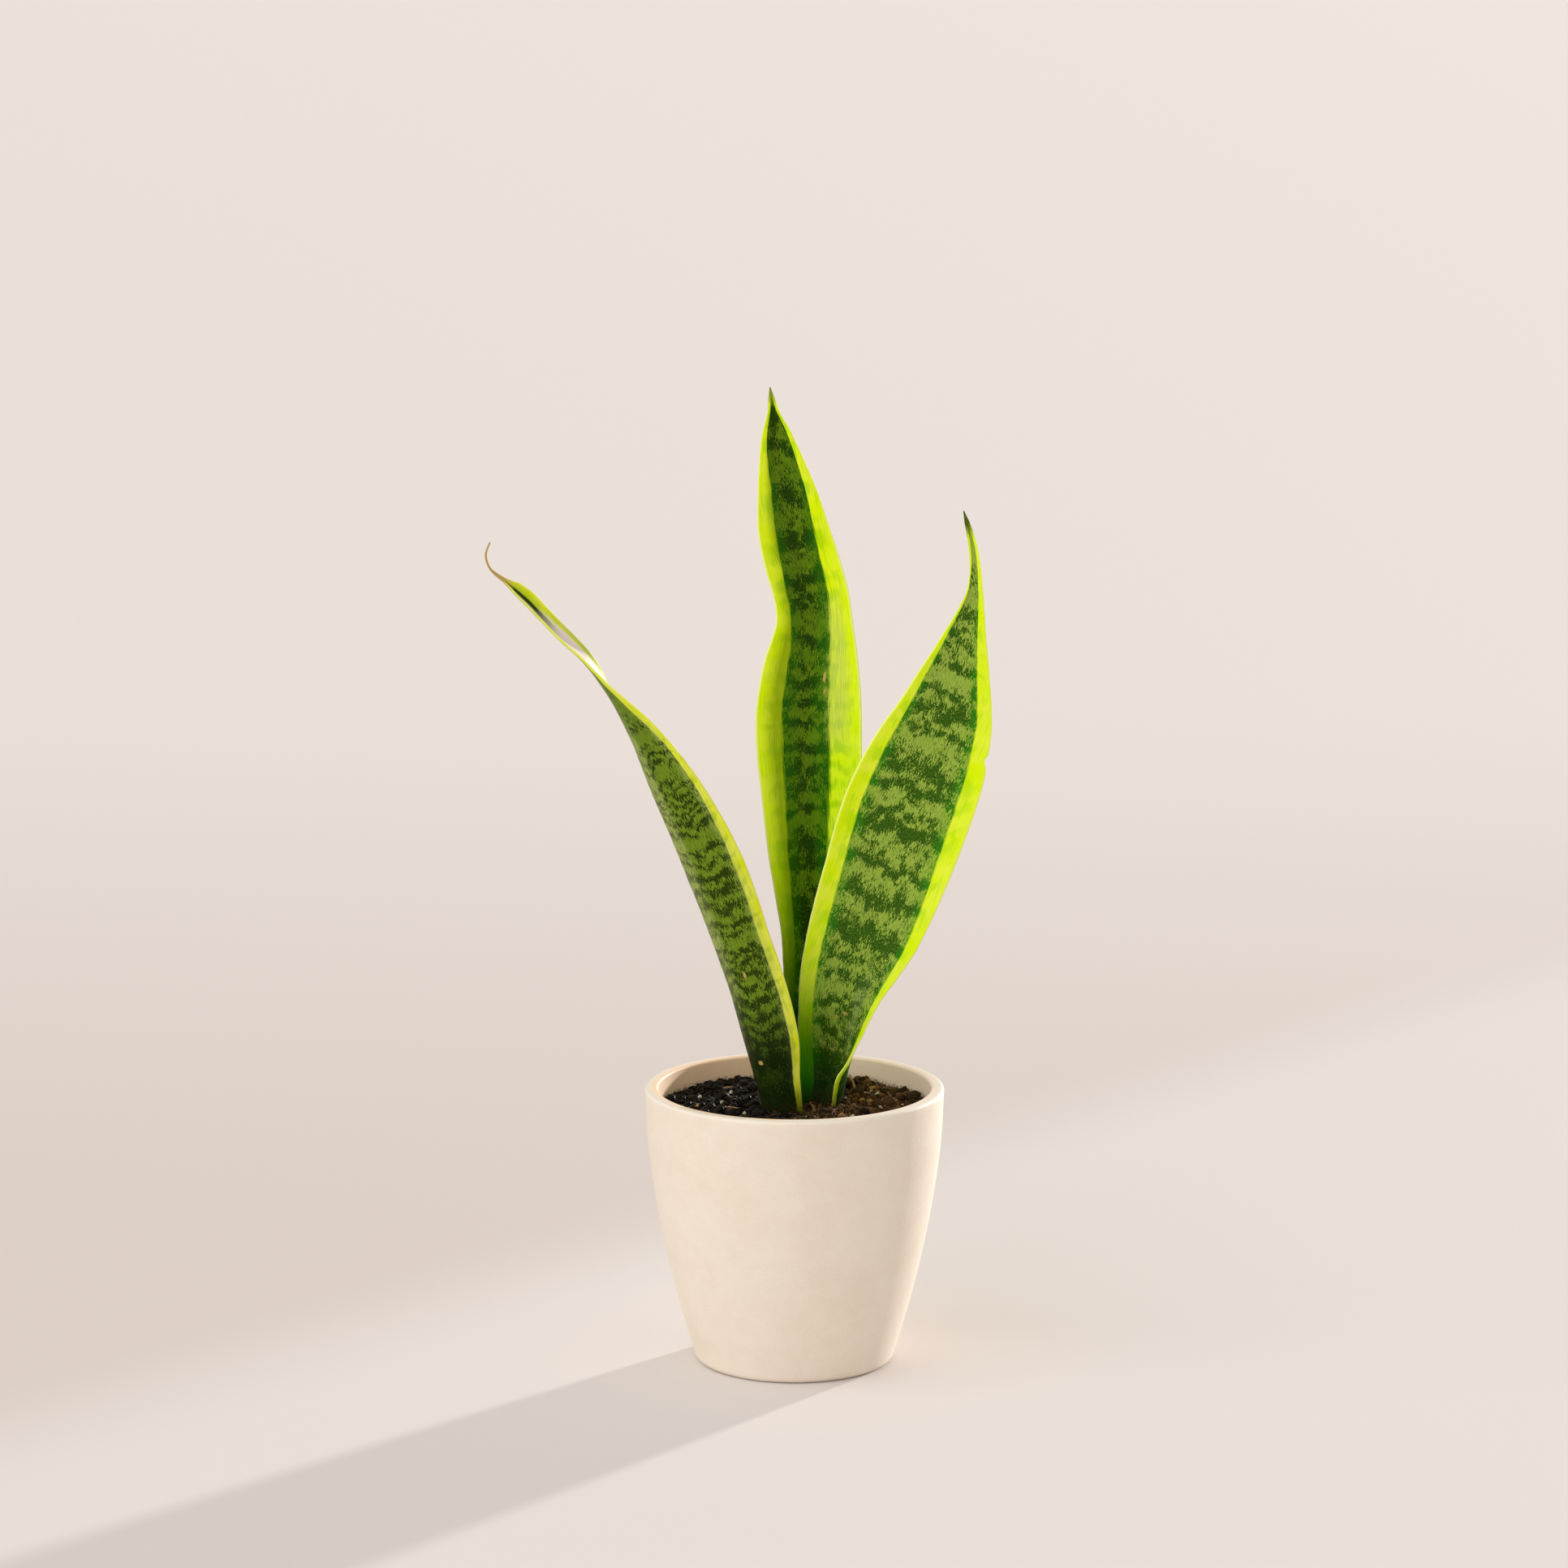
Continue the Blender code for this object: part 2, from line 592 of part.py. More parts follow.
def main():
    clear_scene()
    clay = finish_material("pot_glaze", (0.80, 0.71, 0.60), 0.55)
    earth = finish_material("potting_soil", (0.030, 0.020, 0.014), 0.95)
    leaf_green = finish_material("banded_leaf", (0.11, 0.24, 0.03), 0.42)
    rhizome_skin = finish_material("rhizome_skin", (0.75, 0.48, 0.22), 0.60)
    root_skin = finish_material("root_skin", (0.72, 0.60, 0.40), 0.70)
    bark = finish_material("bark", (0.20, 0.10, 0.05), 0.90)
    perlite = finish_material("perlite", (0.85, 0.83, 0.78), 0.90)

    make_pot(clay)
    leaves = {"leaf_left": LEAF_LEFT, "leaf_right": LEAF_RIGHT, "leaf_centre": LEAF_CENTRE}
    spaces = []
    for name, leaf in leaves.items():
        make_leaf(name, leaf, leaf_green)
        spaces.append(leaf_base_cutter(name, leaf))
    rhizome = rhizome_shape("rhizome")
    rhizome.data.materials.append(rhizome_skin)
    swollen = make_cutter(rhizome_shape("space_for_rhizome", GAP))
    for index in range(len(ROOTS)):
        make_root(index, root_skin, swollen)
        spaces.append(root_cutter(index))
    soil = make_soil(earth, [swollen] + spaces)

    surface = evaluated_surface(soil)
    for index, (x, y, length, heading) in enumerate(BARK_CHIPS):
        size = (length, length * CHIP_WIDTH_SHARE, CHIP_THICKNESS)
        chip = pebble(CHIP_SEED + index, size, CHIP_CORNERS)
        lay_on_soil(f"bark_chip_{index + 1}", chip, x, y, heading, bark, surface)
    for index, (x, y, radius) in enumerate(PERLITE_GRAINS):
        grain = pebble(GRAIN_SEED + index, (2 * radius,) * 3, GRAIN_CORNERS)
        lay_on_soil(f"perlite_{index + 1}", grain, x, y, 0.0, perlite, surface)


main()
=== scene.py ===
# %% [markdown]
# # A potted snake plant
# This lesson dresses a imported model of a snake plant: three banded leaves, a cream pot, and the
# soil with its bark and perlite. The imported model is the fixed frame. It says where every piece
# stands and how big it is, so each cell here reads its sizes from it and adds only the fine shape
# and the finish. The very first step is to load that frame.

# %% Load the frame
import math
import random

import bmesh
import bpy
import numpy as np
from mathutils import Matrix, Vector, noise


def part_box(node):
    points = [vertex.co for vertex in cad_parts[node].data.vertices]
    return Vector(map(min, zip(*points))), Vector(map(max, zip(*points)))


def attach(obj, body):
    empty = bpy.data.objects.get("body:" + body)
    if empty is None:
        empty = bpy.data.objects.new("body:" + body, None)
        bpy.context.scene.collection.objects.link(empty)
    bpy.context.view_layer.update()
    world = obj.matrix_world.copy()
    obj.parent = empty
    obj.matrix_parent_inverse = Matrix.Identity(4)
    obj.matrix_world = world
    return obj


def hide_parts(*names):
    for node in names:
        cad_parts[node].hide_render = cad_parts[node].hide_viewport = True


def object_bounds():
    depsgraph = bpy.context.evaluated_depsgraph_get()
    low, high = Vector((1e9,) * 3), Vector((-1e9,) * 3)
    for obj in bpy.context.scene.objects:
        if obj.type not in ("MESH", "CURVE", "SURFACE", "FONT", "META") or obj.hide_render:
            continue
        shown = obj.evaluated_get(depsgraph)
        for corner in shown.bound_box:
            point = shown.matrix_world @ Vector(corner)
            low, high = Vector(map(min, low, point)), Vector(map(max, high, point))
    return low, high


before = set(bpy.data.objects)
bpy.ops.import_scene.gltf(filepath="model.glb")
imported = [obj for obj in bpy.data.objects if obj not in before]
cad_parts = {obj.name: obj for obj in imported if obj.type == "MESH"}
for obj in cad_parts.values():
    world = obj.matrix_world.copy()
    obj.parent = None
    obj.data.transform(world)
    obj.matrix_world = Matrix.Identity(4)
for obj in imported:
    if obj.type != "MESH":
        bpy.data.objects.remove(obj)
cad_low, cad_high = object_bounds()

packed_size = [round(1000 * side) for side in cad_high - cad_low]
print("nodes:", len(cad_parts), "size in mm:", packed_size)

# %% [markdown]
# ## Helpers for materials
# Every finish below is drawn with nodes, so that it has grain at its real size in metres from any
# side. Adding nodes by hand takes four lines each. Small helpers keep the cells short: one adds a
# node and wires its inputs, one does arithmetic, some mix colours and one wires a finished skin to
# its shader. Colours are given as they look on a screen, from 0 to 255.

# %% Helpers for materials
def add_node(tree, kind, inputs=None, **settings):
    """A shader node. An input takes a plain value, or another node's output."""
    made = tree.nodes.new("ShaderNode" + kind)
    for name, value in settings.items():
        setattr(made, name, value)
    for name, value in (inputs or {}).items():
        if isinstance(value, bpy.types.NodeSocket):
            tree.links.new(value, made.inputs[name])
        else:
            made.inputs[name].default_value = value
    return made


def own_place(tree):
    """Where a point lies on its own piece, in metres."""
    return add_node(tree, "TexCoord").outputs["Object"]


def corner_value(tree, name, output="Fac"):
    """A number or a place that every corner of the mesh carries."""
    return add_node(tree, "Attribute", attribute_name=name).outputs[output]


def maths(tree, operation, *values):
    return add_node(tree, "Math", dict(enumerate(values)), operation=operation).outputs[0]


def screen_colour(red, green, blue):
    """A colour picked on a screen, 0 to 255, as the linear values that shaders use."""
    shares = [part / 255 for part in (red, green, blue)]
    linear = [part / 12.92 if part <= 0.04045 else ((part + 0.055) / 1.055) ** 2.4 for part in shares]
    return (*linear, 1.0)


def mixed(tree, share, first, second):
    """The first colour, turning to the second as the share goes from 0 to 1."""
    mix = add_node(tree, "Mix", {0: share, 6: first, 7: second}, data_type="RGBA")
    return mix.outputs[2]


def tinted(tree, mask, most, colour, tint):
    """The colour with a screen colour laid over it where the mask is 1, and at most that much of it."""
    return mixed(tree, maths(tree, "MULTIPLY", mask, most), colour, screen_colour(*tint))


def stepped(tree, value, low, high):
    """0 below low and 1 above high, with a smooth step in between. A low over high turns it round."""
    limits = {"Value": value, "From Min": low, "From Max": high}
    return add_node(tree, "MapRange", limits, interpolation_type="SMOOTHSTEP").outputs[0]


def start_group(name, inputs, outputs):
    """An empty node group with named sockets, and its two ends."""
    tree = bpy.data.node_groups.new(name, "ShaderNodeTree")
    for socket, kind, value in inputs:
        made = tree.interface.new_socket(socket, in_out="INPUT", socket_type="NodeSocket" + kind)
        if value is not None:
            made.default_value = value
    for socket, kind in outputs:
        tree.interface.new_socket(socket, in_out="OUTPUT", socket_type="NodeSocket" + kind)
    return tree, tree.nodes.new("NodeGroupInput").outputs, tree.nodes.new("NodeGroupOutput").inputs


def use_group(tree, name, inputs):
    group = tree.nodes.new("ShaderNodeGroup")
    group.node_tree = bpy.data.node_groups[name]
    for socket, value in inputs.items():
        if isinstance(value, bpy.types.NodeSocket):
            tree.links.new(value, group.inputs[socket])
        else:
            group.inputs[socket].default_value = value
    return group.outputs


def start_material(name, **plain_values):
    """A Principled material, its tree and its shader. Values that never change go on the shader."""
    material = bpy.data.materials.new(name)
    material.use_nodes = True
    shader = material.node_tree.nodes["Principled BSDF"]
    for socket, value in plain_values.items():
        shader.inputs[socket.replace("_", " ")].default_value = value
    return material, material.node_tree, shader


def finish_skin(tree, shader, colour, roughness, height, strength, distance):
    """Wires a finish to its shader. Height runs from 0 to 1, distance is the relief's in metres."""
    bump = add_node(tree, "Bump", {"Strength": strength, "Distance": distance, "Height": height})
    tree.links.new(colour, shader.inputs["Base Color"])
    tree.links.new(bump.outputs["Normal"], shader.inputs["Normal"])
    if roughness is not None:
        tree.links.new(roughness, shader.inputs["Roughness"])


print("helpers ready, in Blender", bpy.app.version_string)

# %% [markdown]
# ## Camera and floor
# A plant like this is shown from a little above its rim, from far enough away that the pot hardly
# widens towards the lens. The camera could be aimed with a constraint, but a plain place and tilt
# is easier to read. The floor is one pale disc that runs past every edge of the picture, with a
# painted shadow a shade darker behind a soft line that runs the way the light falls, as if a wall
# stood in the way there.

# %% Camera and floor
CAMERA_PLACE = (-0.0049, -2.4024, 0.7157)
CAMERA_TILT = math.radians(10.405)  # below level
CAMERA_LENS = 121.12
FLOOR_RADIUS = 40.0
SHADE_HEADING = math.radians(49.5)  # the way the painted shadow's edge runs
SHADE_FROM, SHADE_FULL = 0.12, 0.26  # metres behind the pot's middle
SHADE_LOST, SHADE_DEEPEST = 1.9, 0.1  # between these distances behind, the painted shadow washes out


def add_camera():
    lens = bpy.data.cameras.new("camera")
    lens.lens = CAMERA_LENS
    lens.sensor_width = 36.0
    lens.clip_end = 3 * FLOOR_RADIUS
    camera = bpy.data.objects.new("camera", lens)
    camera.location = CAMERA_PLACE
    camera.rotation_euler = (math.pi / 2 - CAMERA_TILT, 0.0, 0.0)
    bpy.context.scene.collection.objects.link(camera)
    bpy.context.scene.camera = camera


def add_floor():
    disc = bmesh.new()
    bmesh.ops.create_circle(disc, cap_ends=True, segments=96, radius=FLOOR_RADIUS)
    mesh = bpy.data.meshes.new("floor")
    disc.to_mesh(mesh)
    disc.free()
    floor = bpy.data.objects.new("floor", mesh)
    bpy.context.scene.collection.objects.link(floor)
    paint, tree, shader = start_material("floor_paint", Roughness=0.85)
    place = own_place(tree)
    across = (-math.sin(SHADE_HEADING), math.cos(SHADE_HEADING), 0.0)
    behind = add_node(tree, "VectorMath", {0: place, 1: across}, operation="DOT_PRODUCT")
    # Painted shadow: darker behind the line, and washing out further away.
    shade = stepped(tree, behind.outputs["Value"], SHADE_FROM, SHADE_FULL)
    away = add_node(tree, "SeparateXYZ", {0: place}).outputs["Y"]
    shade = maths(tree, "MULTIPLY", shade, stepped(tree, away, SHADE_LOST, SHADE_DEEPEST))
    colour = mixed(tree, shade, screen_colour(226, 219, 218), screen_colour(214, 203, 200))
    tree.links.new(colour, shader.inputs["Base Color"])
    mesh.materials.append(paint)


add_camera()
add_floor()
print("camera", [round(place, 3) for place in CAMERA_PLACE], "lens", CAMERA_LENS)

# %% [markdown]
# ## Light
# The light is a pale room, one low lamp behind the plant on the right, which draws the pot's shadow
# and the bright edge of its wall, and a broad weak one in front. A lamp with a place would leave a
# bright pool on the floor, so both are suns, which shine evenly: only their headings count. The
# Standard view keeps the leaves as bright a green as they are.

# %% Light
LAMP_DISTANCE = 3.0  # only to keep them out of the way in the viewport


def add_lamp(name, heading, height, softness, power, colour):
    """Even light from a heading and a height, in degrees. Heading 0 is on the right and 90 behind.
    Softness is how wide the lamp looks, in degrees."""
    lamp_data = bpy.data.lights.new(name, "SUN")
    lamp_data.angle = math.radians(softness)
    lamp_data.energy = power
    lamp_data.color = screen_colour(*colour)[:3]
    lamp = bpy.data.objects.new(name, lamp_data)
    heading, height = math.radians(heading), math.radians(height)
    level = math.cos(height)
    towards = Vector((level * math.cos(heading), level * math.sin(heading), math.sin(height)))
    lamp.location = LAMP_DISTANCE * towards
    lamp.rotation_euler = towards.to_track_quat("Z", "Y").to_euler()
    bpy.context.scene.collection.objects.link(lamp)


def light_room(strength, colour):
    world = bpy.data.worlds.new("pale_room")
    world.use_nodes = True
    walls = world.node_tree.nodes["Background"]
    walls.inputs["Color"].default_value = screen_colour(*colour)
    walls.inputs["Strength"].default_value = strength
    bpy.context.scene.world = world
    bpy.context.scene.view_settings.view_transform = "Standard"


add_lamp("key_lamp", heading=50, height=8, softness=3, power=3.8, colour=(255, 250, 243))
add_lamp("front_lamp", heading=-142, height=34, softness=75, power=1.5, colour=(250, 250, 247))
light_room(0.65, (250, 245, 236))
print("lamps:", [lamp.name for lamp in bpy.data.lights])

# %% [markdown]
# ## Shared effects
# Four effects come back in several finishes. Fibres are long thin dashes, as in leaves, roots and
# bark: noise whose space is squeezed across and stretched along. Mottle is a soft cloudy change, as
# in clay and leaf margins. Soil splash is the brown dust that watering leaves on whatever stands
# near the soil. Damp darkens the side of the soil that dries last. Each is a node group, built once,
# and every finish sets its own sizes in it. All sizes are metres.

# %% Shared effects
def shrunk(tree, vector, size, seed):
    """Space in units of a grain's size, moved along by a seed."""
    place = add_node(tree, "VectorMath", {0: vector, 1: size}, operation="DIVIDE").outputs[0]
    return add_node(tree, "VectorMath", {0: place, 1: seed}, operation="ADD")


def build_fibres():
    sizes = [("Across", "Float", 0.0005), ("Along", "Float", 0.003), ("Depth", "Float", 0.004)]
    tree, given, result = start_group(
        "fibres",
        [("Vector", "Vector", None), *sizes, ("Seed", "Float", 0.0)],
        [("Value", "Float")],
    )
    size = add_node(tree, "CombineXYZ", {axis: given[name] for axis, (name, *_) in zip("XYZ", sizes)})
    moved = shrunk(tree, given["Vector"], size.outputs[0], given["Seed"])
    grain = add_node(tree, "TexNoise", {"Vector": moved.outputs[0], "Scale": 1.0, "Detail": 1.5})
    tree.links.new(grain.outputs["Fac"], result["Value"])


def build_mottle():
    tree, given, result = start_group(
        "mottle",
        [("Vector", "Vector", None), ("Size", "Float", 0.01),
         ("Detail", "Float", 3.0), ("Seed", "Float", 0.0)],
        [("Value", "Float")],
    )
    moved = shrunk(tree, given["Vector"], given["Size"], given["Seed"])
    look = {"Vector": moved.outputs[0], "Scale": 1.0, "Detail": given["Detail"]}
    cloud = add_node(tree, "TexNoise", look).outputs["Fac"]
    tree.links.new(stepped(tree, cloud, 0.3, 0.7), result["Value"])


def fibres(tree, place, across, along, depth=0.004, seed=0.0):
    sizes = {"Across": across, "Along": along, "Depth": depth}
    return use_group(tree, "fibres", {"Vector": place, **sizes, "Seed": seed})["Value"]


def mottle(tree, place, size, detail=3.0, seed=0.0):
    look = {"Vector": place, "Size": size, "Detail": detail, "Seed": seed}
    return use_group(tree, "mottle", look)["Value"]


def build_soil_splash():
    """Brown dust that thins out above the soil's top."""
    tree, given, result = start_group(
        "soil_splash",
        [("Color", "Color", (1, 1, 1, 1)), ("Vector", "Vector", None), ("Soil Top", "Float", 0.12),
         ("Reach", "Float", 0.01), ("Amount", "Float", 0.5)],
        [("Color", "Color")],
    )
    height = add_node(tree, "SeparateXYZ", {0: given["Vector"]}).outputs["Z"]
    above = maths(tree, "DIVIDE", maths(tree, "SUBTRACT", height, given["Soil Top"]), given["Reach"])
    specks = mottle(tree, given["Vector"], 0.0011, 4.0)
    near = stepped(tree, maths(tree, "ADD", above, specks), 1.3, 0.3)
    dusty = tinted(tree, near, given["Amount"], given["Color"], (62, 44, 30))
    tree.links.new(dusty, result["Color"])


def build_damp():
    """Soil that is still wet on one side of the pot: darker there, and glossier by the mask."""
    tree, given, result = start_group(
        "damp",
        [("Color", "Color", (1, 1, 1, 1)), ("Vector", "Vector", None)],
        [("Color", "Color"), ("Mask", "Float")],
    )
    cloud = mottle(tree, given["Vector"], 0.012, seed=12.0)
    side = add_node(tree, "SeparateXYZ", {0: given["Vector"]}).outputs["X"]
    wet = stepped(tree, maths(tree, "MULTIPLY_ADD", cloud, 0.020, side), 0.026, 0.0)
    tree.links.new(tinted(tree, wet, 0.95, given["Color"], (12, 8, 4)), result["Color"])
    tree.links.new(wet, result["Mask"])


build_fibres()
build_mottle()
build_soil_splash()
build_damp()
print("shared effects:", [group.name for group in bpy.data.node_groups])

# %% [markdown]
# ## Reading shapes out of the frame
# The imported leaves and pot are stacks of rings. To build a finer skin that lies exactly on them, we
# need those rings back in order. Corners that share a place are first made one. Then we walk: from
# the first ring, all neighbours are the second ring, their neighbours the third, and so on. A curve
# through the rings gives as many rings in between as we like.

# %% Reading shapes out of the frame
WELD = 1e-6


def welded(name):
    """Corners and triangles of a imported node, with corners at one place made one."""
    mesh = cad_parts[name].data
    mesh.calc_loop_triangles()
    corners = np.empty(3 * len(mesh.vertices), np.float32)
    mesh.vertices.foreach_get("co", corners)
    corners = corners.reshape(-1, 3).astype(float)
    faces = np.empty(3 * len(mesh.loop_triangles), np.int32)
    mesh.loop_triangles.foreach_get("vertices", faces)
    keys = np.round(corners / WELD).astype(np.int64)
    _, first, place = np.unique(keys, axis=0, return_index=True, return_inverse=True)
    return corners[first], place.reshape(-1)[faces.reshape(-1, 3)]


def steps_from(start, corners, faces):
    """How many edges each corner is from the starting ones, and all edges in both directions."""
    ends = np.concatenate([faces[:, [0, 1]], faces[:, [1, 2]], faces[:, [2, 0]]])
    ends = np.concatenate([ends, ends[:, ::-1]])
    step = np.where(start, 0, -1)
    for count in range(1, len(corners)):
        reached = ends[(step[ends[:, 0]] == count - 1) & (step[ends[:, 1]] < 0), 1]
        if not len(reached):
            break
        step[reached] = count
    return step, ends


def curve_through(rows, places, wanted):
    """Rows of values at rising places, read along a smooth curve at the wanted places."""
    slopes = np.gradient(rows, places, axis=0)
    at = np.clip(np.searchsorted(places, wanted, side="right") - 1, 0, len(places) - 2)
    sides = (-1,) + (1,) * (rows.ndim - 1)
    run = (places[at + 1] - places[at]).reshape(sides)
    t = (wanted - places[at]).reshape(sides) / run
    return (
        rows[at] * (1 + 2 * t) * (1 - t) ** 2
        + slopes[at] * run * t * (1 - t) ** 2
        + rows[at + 1] * t * t * (3 - 2 * t)
        + slopes[at + 1] * run * t * t * (t - 1)
    )


def distance_along(points):
    return np.r_[0.0, np.cumsum(np.linalg.norm(np.diff(points, axis=0), axis=1))]


def add_piece(name, corners, faces, material, slot, stands_for=(), values=None):
    """A mesh of the plant that rides on the root body, with per-corner values for its material."""
    mesh = bpy.data.meshes.new(name)
    mesh.from_pydata([tuple(corner) for corner in corners], [], [tuple(face) for face in faces])
    for value_name, numbers in (values or {}).items():
        numbers = np.asarray(numbers, np.float32)
        kind, field = ("FLOAT_VECTOR", "vector") if numbers.ndim == 2 else ("FLOAT", "value")
        mesh.attributes.new(value_name, kind, "POINT").data.foreach_set(field, numbers.ravel())
    skin = bmesh.new()
    skin.from_mesh(mesh)
    bmesh.ops.recalc_face_normals(skin, faces=skin.faces)
    skin.to_mesh(mesh)
    skin.free()
    mesh.shade_smooth()
    mesh.materials.append(material)
    piece = bpy.data.objects.new(name, mesh)
    bpy.context.scene.collection.objects.link(piece)
    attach(piece, "root")
    if stands_for:
        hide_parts(*stands_for)
    print(f"{name}: {len(mesh.vertices)} corners, {len(mesh.polygons)} faces")
    return piece


pot_low, pot_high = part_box("pot")
soil_low, soil_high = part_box("soil")
print("rim at", round(pot_high.z, 4), "soil's highest point at", round(soil_high.z, 4))

# %% [markdown]
# ## The pot
# The pot is cast in a fine cream clay and left bare, with the soft sheen of a rubbed surface. Seen
# close, no such pot is perfectly round: its wall wavers by a tenth of a millimetre. A lathe modifier
# would give a perfect one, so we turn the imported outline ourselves, in fine steps, and let slow
# noise push the wall in and out.

# %% Pot shape
POT_TURNS = 180
POT_STEP = 0.0013
POT_WAVER = 0.00012  # how far the wall strays from round
WAVER_UNIT, WAVERS = 0.07, 1.7  # about the rim's radius, and the waves over that length
ROUND_WITHIN = 0.03  # the middle of the foot and floor stays flat and round
FOOT_TOP = 0.0039  # below this is the rounding of the foot
FLOOR_ROUND_TOP = 0.0149  # and below this, inside, the rounding to the floor
LIP_OUTSIDE = 0.0017  # roundings of the rim
LIP_INSIDE = 0.0011
FLAT_RINGS = 12  # from the axis to the foot's edge, and the same inside


def pot_outline():
    """(radius, height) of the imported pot's rings, from the foot, over the rim, to the floor inside."""
    corners, faces = welded("pot")
    step, _ = steps_from(corners[:, 2] < WELD * 10, corners, faces)
    radius = np.hypot(corners[:, 0], corners[:, 1])
    rings = [step == k for k in range(step.max() + 1)]
    return np.array([[radius[ring].mean(), corners[ring, 2].mean()] for ring in rings])


def faces_round(rings, turns):
    """Faces of a turned body: one corner on the axis, then rings of corners, then one on the axis."""
    faces, last, top = [], 1 + rings * turns, 1 + (rings - 1) * turns
    for turn in range(turns):
        after = (turn + 1) % turns
        faces.append((0, 1 + turn, 1 + after))
        faces.append((last, top + after, top + turn))
        for ring in range(rings - 1):
            low, high = 1 + ring * turns, 1 + (ring + 1) * turns
            faces.append((low + turn, high + turn, high + after, low + after))
    return faces


def turned(outline):
    """The pot's corners: an outline turned round the Z axis. Its two ends lie on the axis."""
    corners = [(0.0, 0.0, outline[0][1])]
    for radius, height in outline[1:-1]:
        for turn in range(POT_TURNS):
            angle = 2 * math.pi * turn / POT_TURNS
            around = Vector((math.cos(angle), math.sin(angle), height / WAVER_UNIT))
            waver = POT_WAVER * noise.noise(around * WAVERS) if radius > ROUND_WITHIN else 0.0
            corners.append(((radius + waver) * around.x, (radius + waver) * around.y, height))
    corners.append((0.0, 0.0, outline[-1][1]))
    return corners, faces_round(len(outline) - 2, POT_TURNS)


def arc(centre, radius, start, end, count=7):
    """Points on a rounding, from one angle to another in degrees."""
    angles = np.radians(np.linspace(start, end, count))
    around = np.stack([np.cos(angles), np.sin(angles)], axis=1)
    return centre + radius * around


def finer(points):
    run = distance_along(points)
    wanted = np.linspace(0.0, run[-1], max(5, int(run[-1] / POT_STEP)))
    return curve_through(points, run, wanted)


packed_outline = pot_outline()
rim_ring = int(np.argmax(packed_outline[:, 1]))
outside, inside = packed_outline[:rim_ring + 1], packed_outline[rim_ring:]
half_wall = (packed_outline[rim_ring - 3, 0] - packed_outline[rim_ring + 3, 0]) / 2
lip_foot = pot_high.z - half_wall + WELD
outer_wall = outside[(outside[:, 1] > FOOT_TOP) & (outside[:, 1] < lip_foot)]
inner_wall = inside[(inside[:, 1] > FLOOR_ROUND_TOP) & (inside[:, 1] < lip_foot)]
foot = outside[outside[:, 1] < outer_wall[0, 1] + WELD]
lip_out = (outer_wall[-1, 0] - LIP_OUTSIDE, pot_high.z - LIP_OUTSIDE)
lip_in = (inner_wall[0, 0] + LIP_INSIDE, pot_high.z - LIP_INSIDE)
floor_edge = packed_outline[-1]
has_rounding = inner_wall[-1, 1] > floor_edge[1] + WELD
fine_outline = np.concatenate([
    np.linspace(0.0, 1.0, FLAT_RINGS)[:-1, None] * foot[0],
    finer(foot)[:-1],
    finer(outer_wall),
    arc(lip_out, LIP_OUTSIDE, 0, 90),
    arc(lip_in, LIP_INSIDE, 90, 180),
    finer(inner_wall)[1:],
    finer(packed_outline[-3:])[1:] if has_rounding else floor_edge[None],
    np.linspace(1.0, 0.0, FLAT_RINGS)[1:, None] * (floor_edge[0], 0.0) + (0.0, floor_edge[1]),
])
print("outline:", len(packed_outline), "packed points,", len(fine_outline), "fine ones")

# %% [markdown]
# ## The pot's finish
# Bare cast clay is nearly one colour, but never quite: clouds a few centimetres wide are a little
# warmer or paler, and pinholes and fine grit roughen it. The top of the rim is painted paler, a
# painted highlight. Inside, the wall is painted warmer, as painted warm bounce light, most of all on
# the side where the soil's damp mask lies. The cloud, the grit, the damp and the soil splash are
# shared effects with their sizes set for clay.

# %% Pot finish
RIM_HIGHLIGHT_DEPTH = 0.0022  # how far down the rim's top is painted paler, a painted highlight
SPLASH_FROM = soil_high.z - 0.0035  # where soil dust starts on the wall, and how far up it goes
SPLASH_REACH = 0.0030


def make_clay():
    clay, tree, shader = start_material("cast_clay", Roughness=0.55)
    place = own_place(tree)
    cloud = mottle(tree, place, 0.034, seed=3.0)
    patch = mottle(tree, place, 0.009, 4.0, 9.0)
    grit = mottle(tree, place, 0.0006, seed=5.0)
    colour = mixed(tree, cloud, screen_colour(240, 229, 215), screen_colour(237, 224, 207))
    colour = tinted(tree, patch, 0.35, colour, (246, 236, 222))
    colour = tinted(tree, stepped(tree, grit, 0.75, 1.0), 0.10, colour, (190, 168, 142))
    height = add_node(tree, "SeparateXYZ", {0: place}).outputs["Z"]
    # Painted highlight: the top of the rim is painted paler.
    rim_highlight = stepped(tree, height, pot_high.z - RIM_HIGHLIGHT_DEPTH, pot_high.z)
    colour = tinted(tree, rim_highlight, 0.5, colour, (248, 240, 228))
    # Painted warm bounce light: the inside wall is painted warmer, most of all on the side of the damp mask.
    painted_bounce_side = use_group(tree, "damp", {"Vector": place})["Mask"]
    painted_bounce_colour = mixed(tree, painted_bounce_side, screen_colour(255, 228, 216), screen_colour(255, 217, 180))
    splash = {"Color": mixed(tree, 0.9, colour, painted_bounce_colour), "Vector": place}
    splash |= {"Soil Top": SPLASH_FROM, "Reach": SPLASH_REACH, "Amount": 0.8}
    dusty = use_group(tree, "soil_splash", splash)["Color"]
    colour = mixed(tree, corner_value(tree, "inside"), colour, dusty)
    sheen = maths(tree, "MULTIPLY_ADD", grit, 0.12, maths(tree, "MULTIPLY_ADD", cloud, 0.10, 0.42))
    relief = maths(tree, "ADD", maths(tree, "MULTIPLY", patch, 0.6), grit)
    finish_skin(tree, shader, colour, sheen, relief, strength=0.22, distance=0.0003)
    return clay


pot_corners, pot_faces = turned(fine_outline)
top_ring = int(np.argmax(fine_outline[:, 1]))
past_rim = np.arange(len(pot_corners)) > 1 + top_ring * POT_TURNS
add_piece("clay_pot", pot_corners, pot_faces, make_clay(), "pot_clay", ["pot"], {"inside": past_rim})

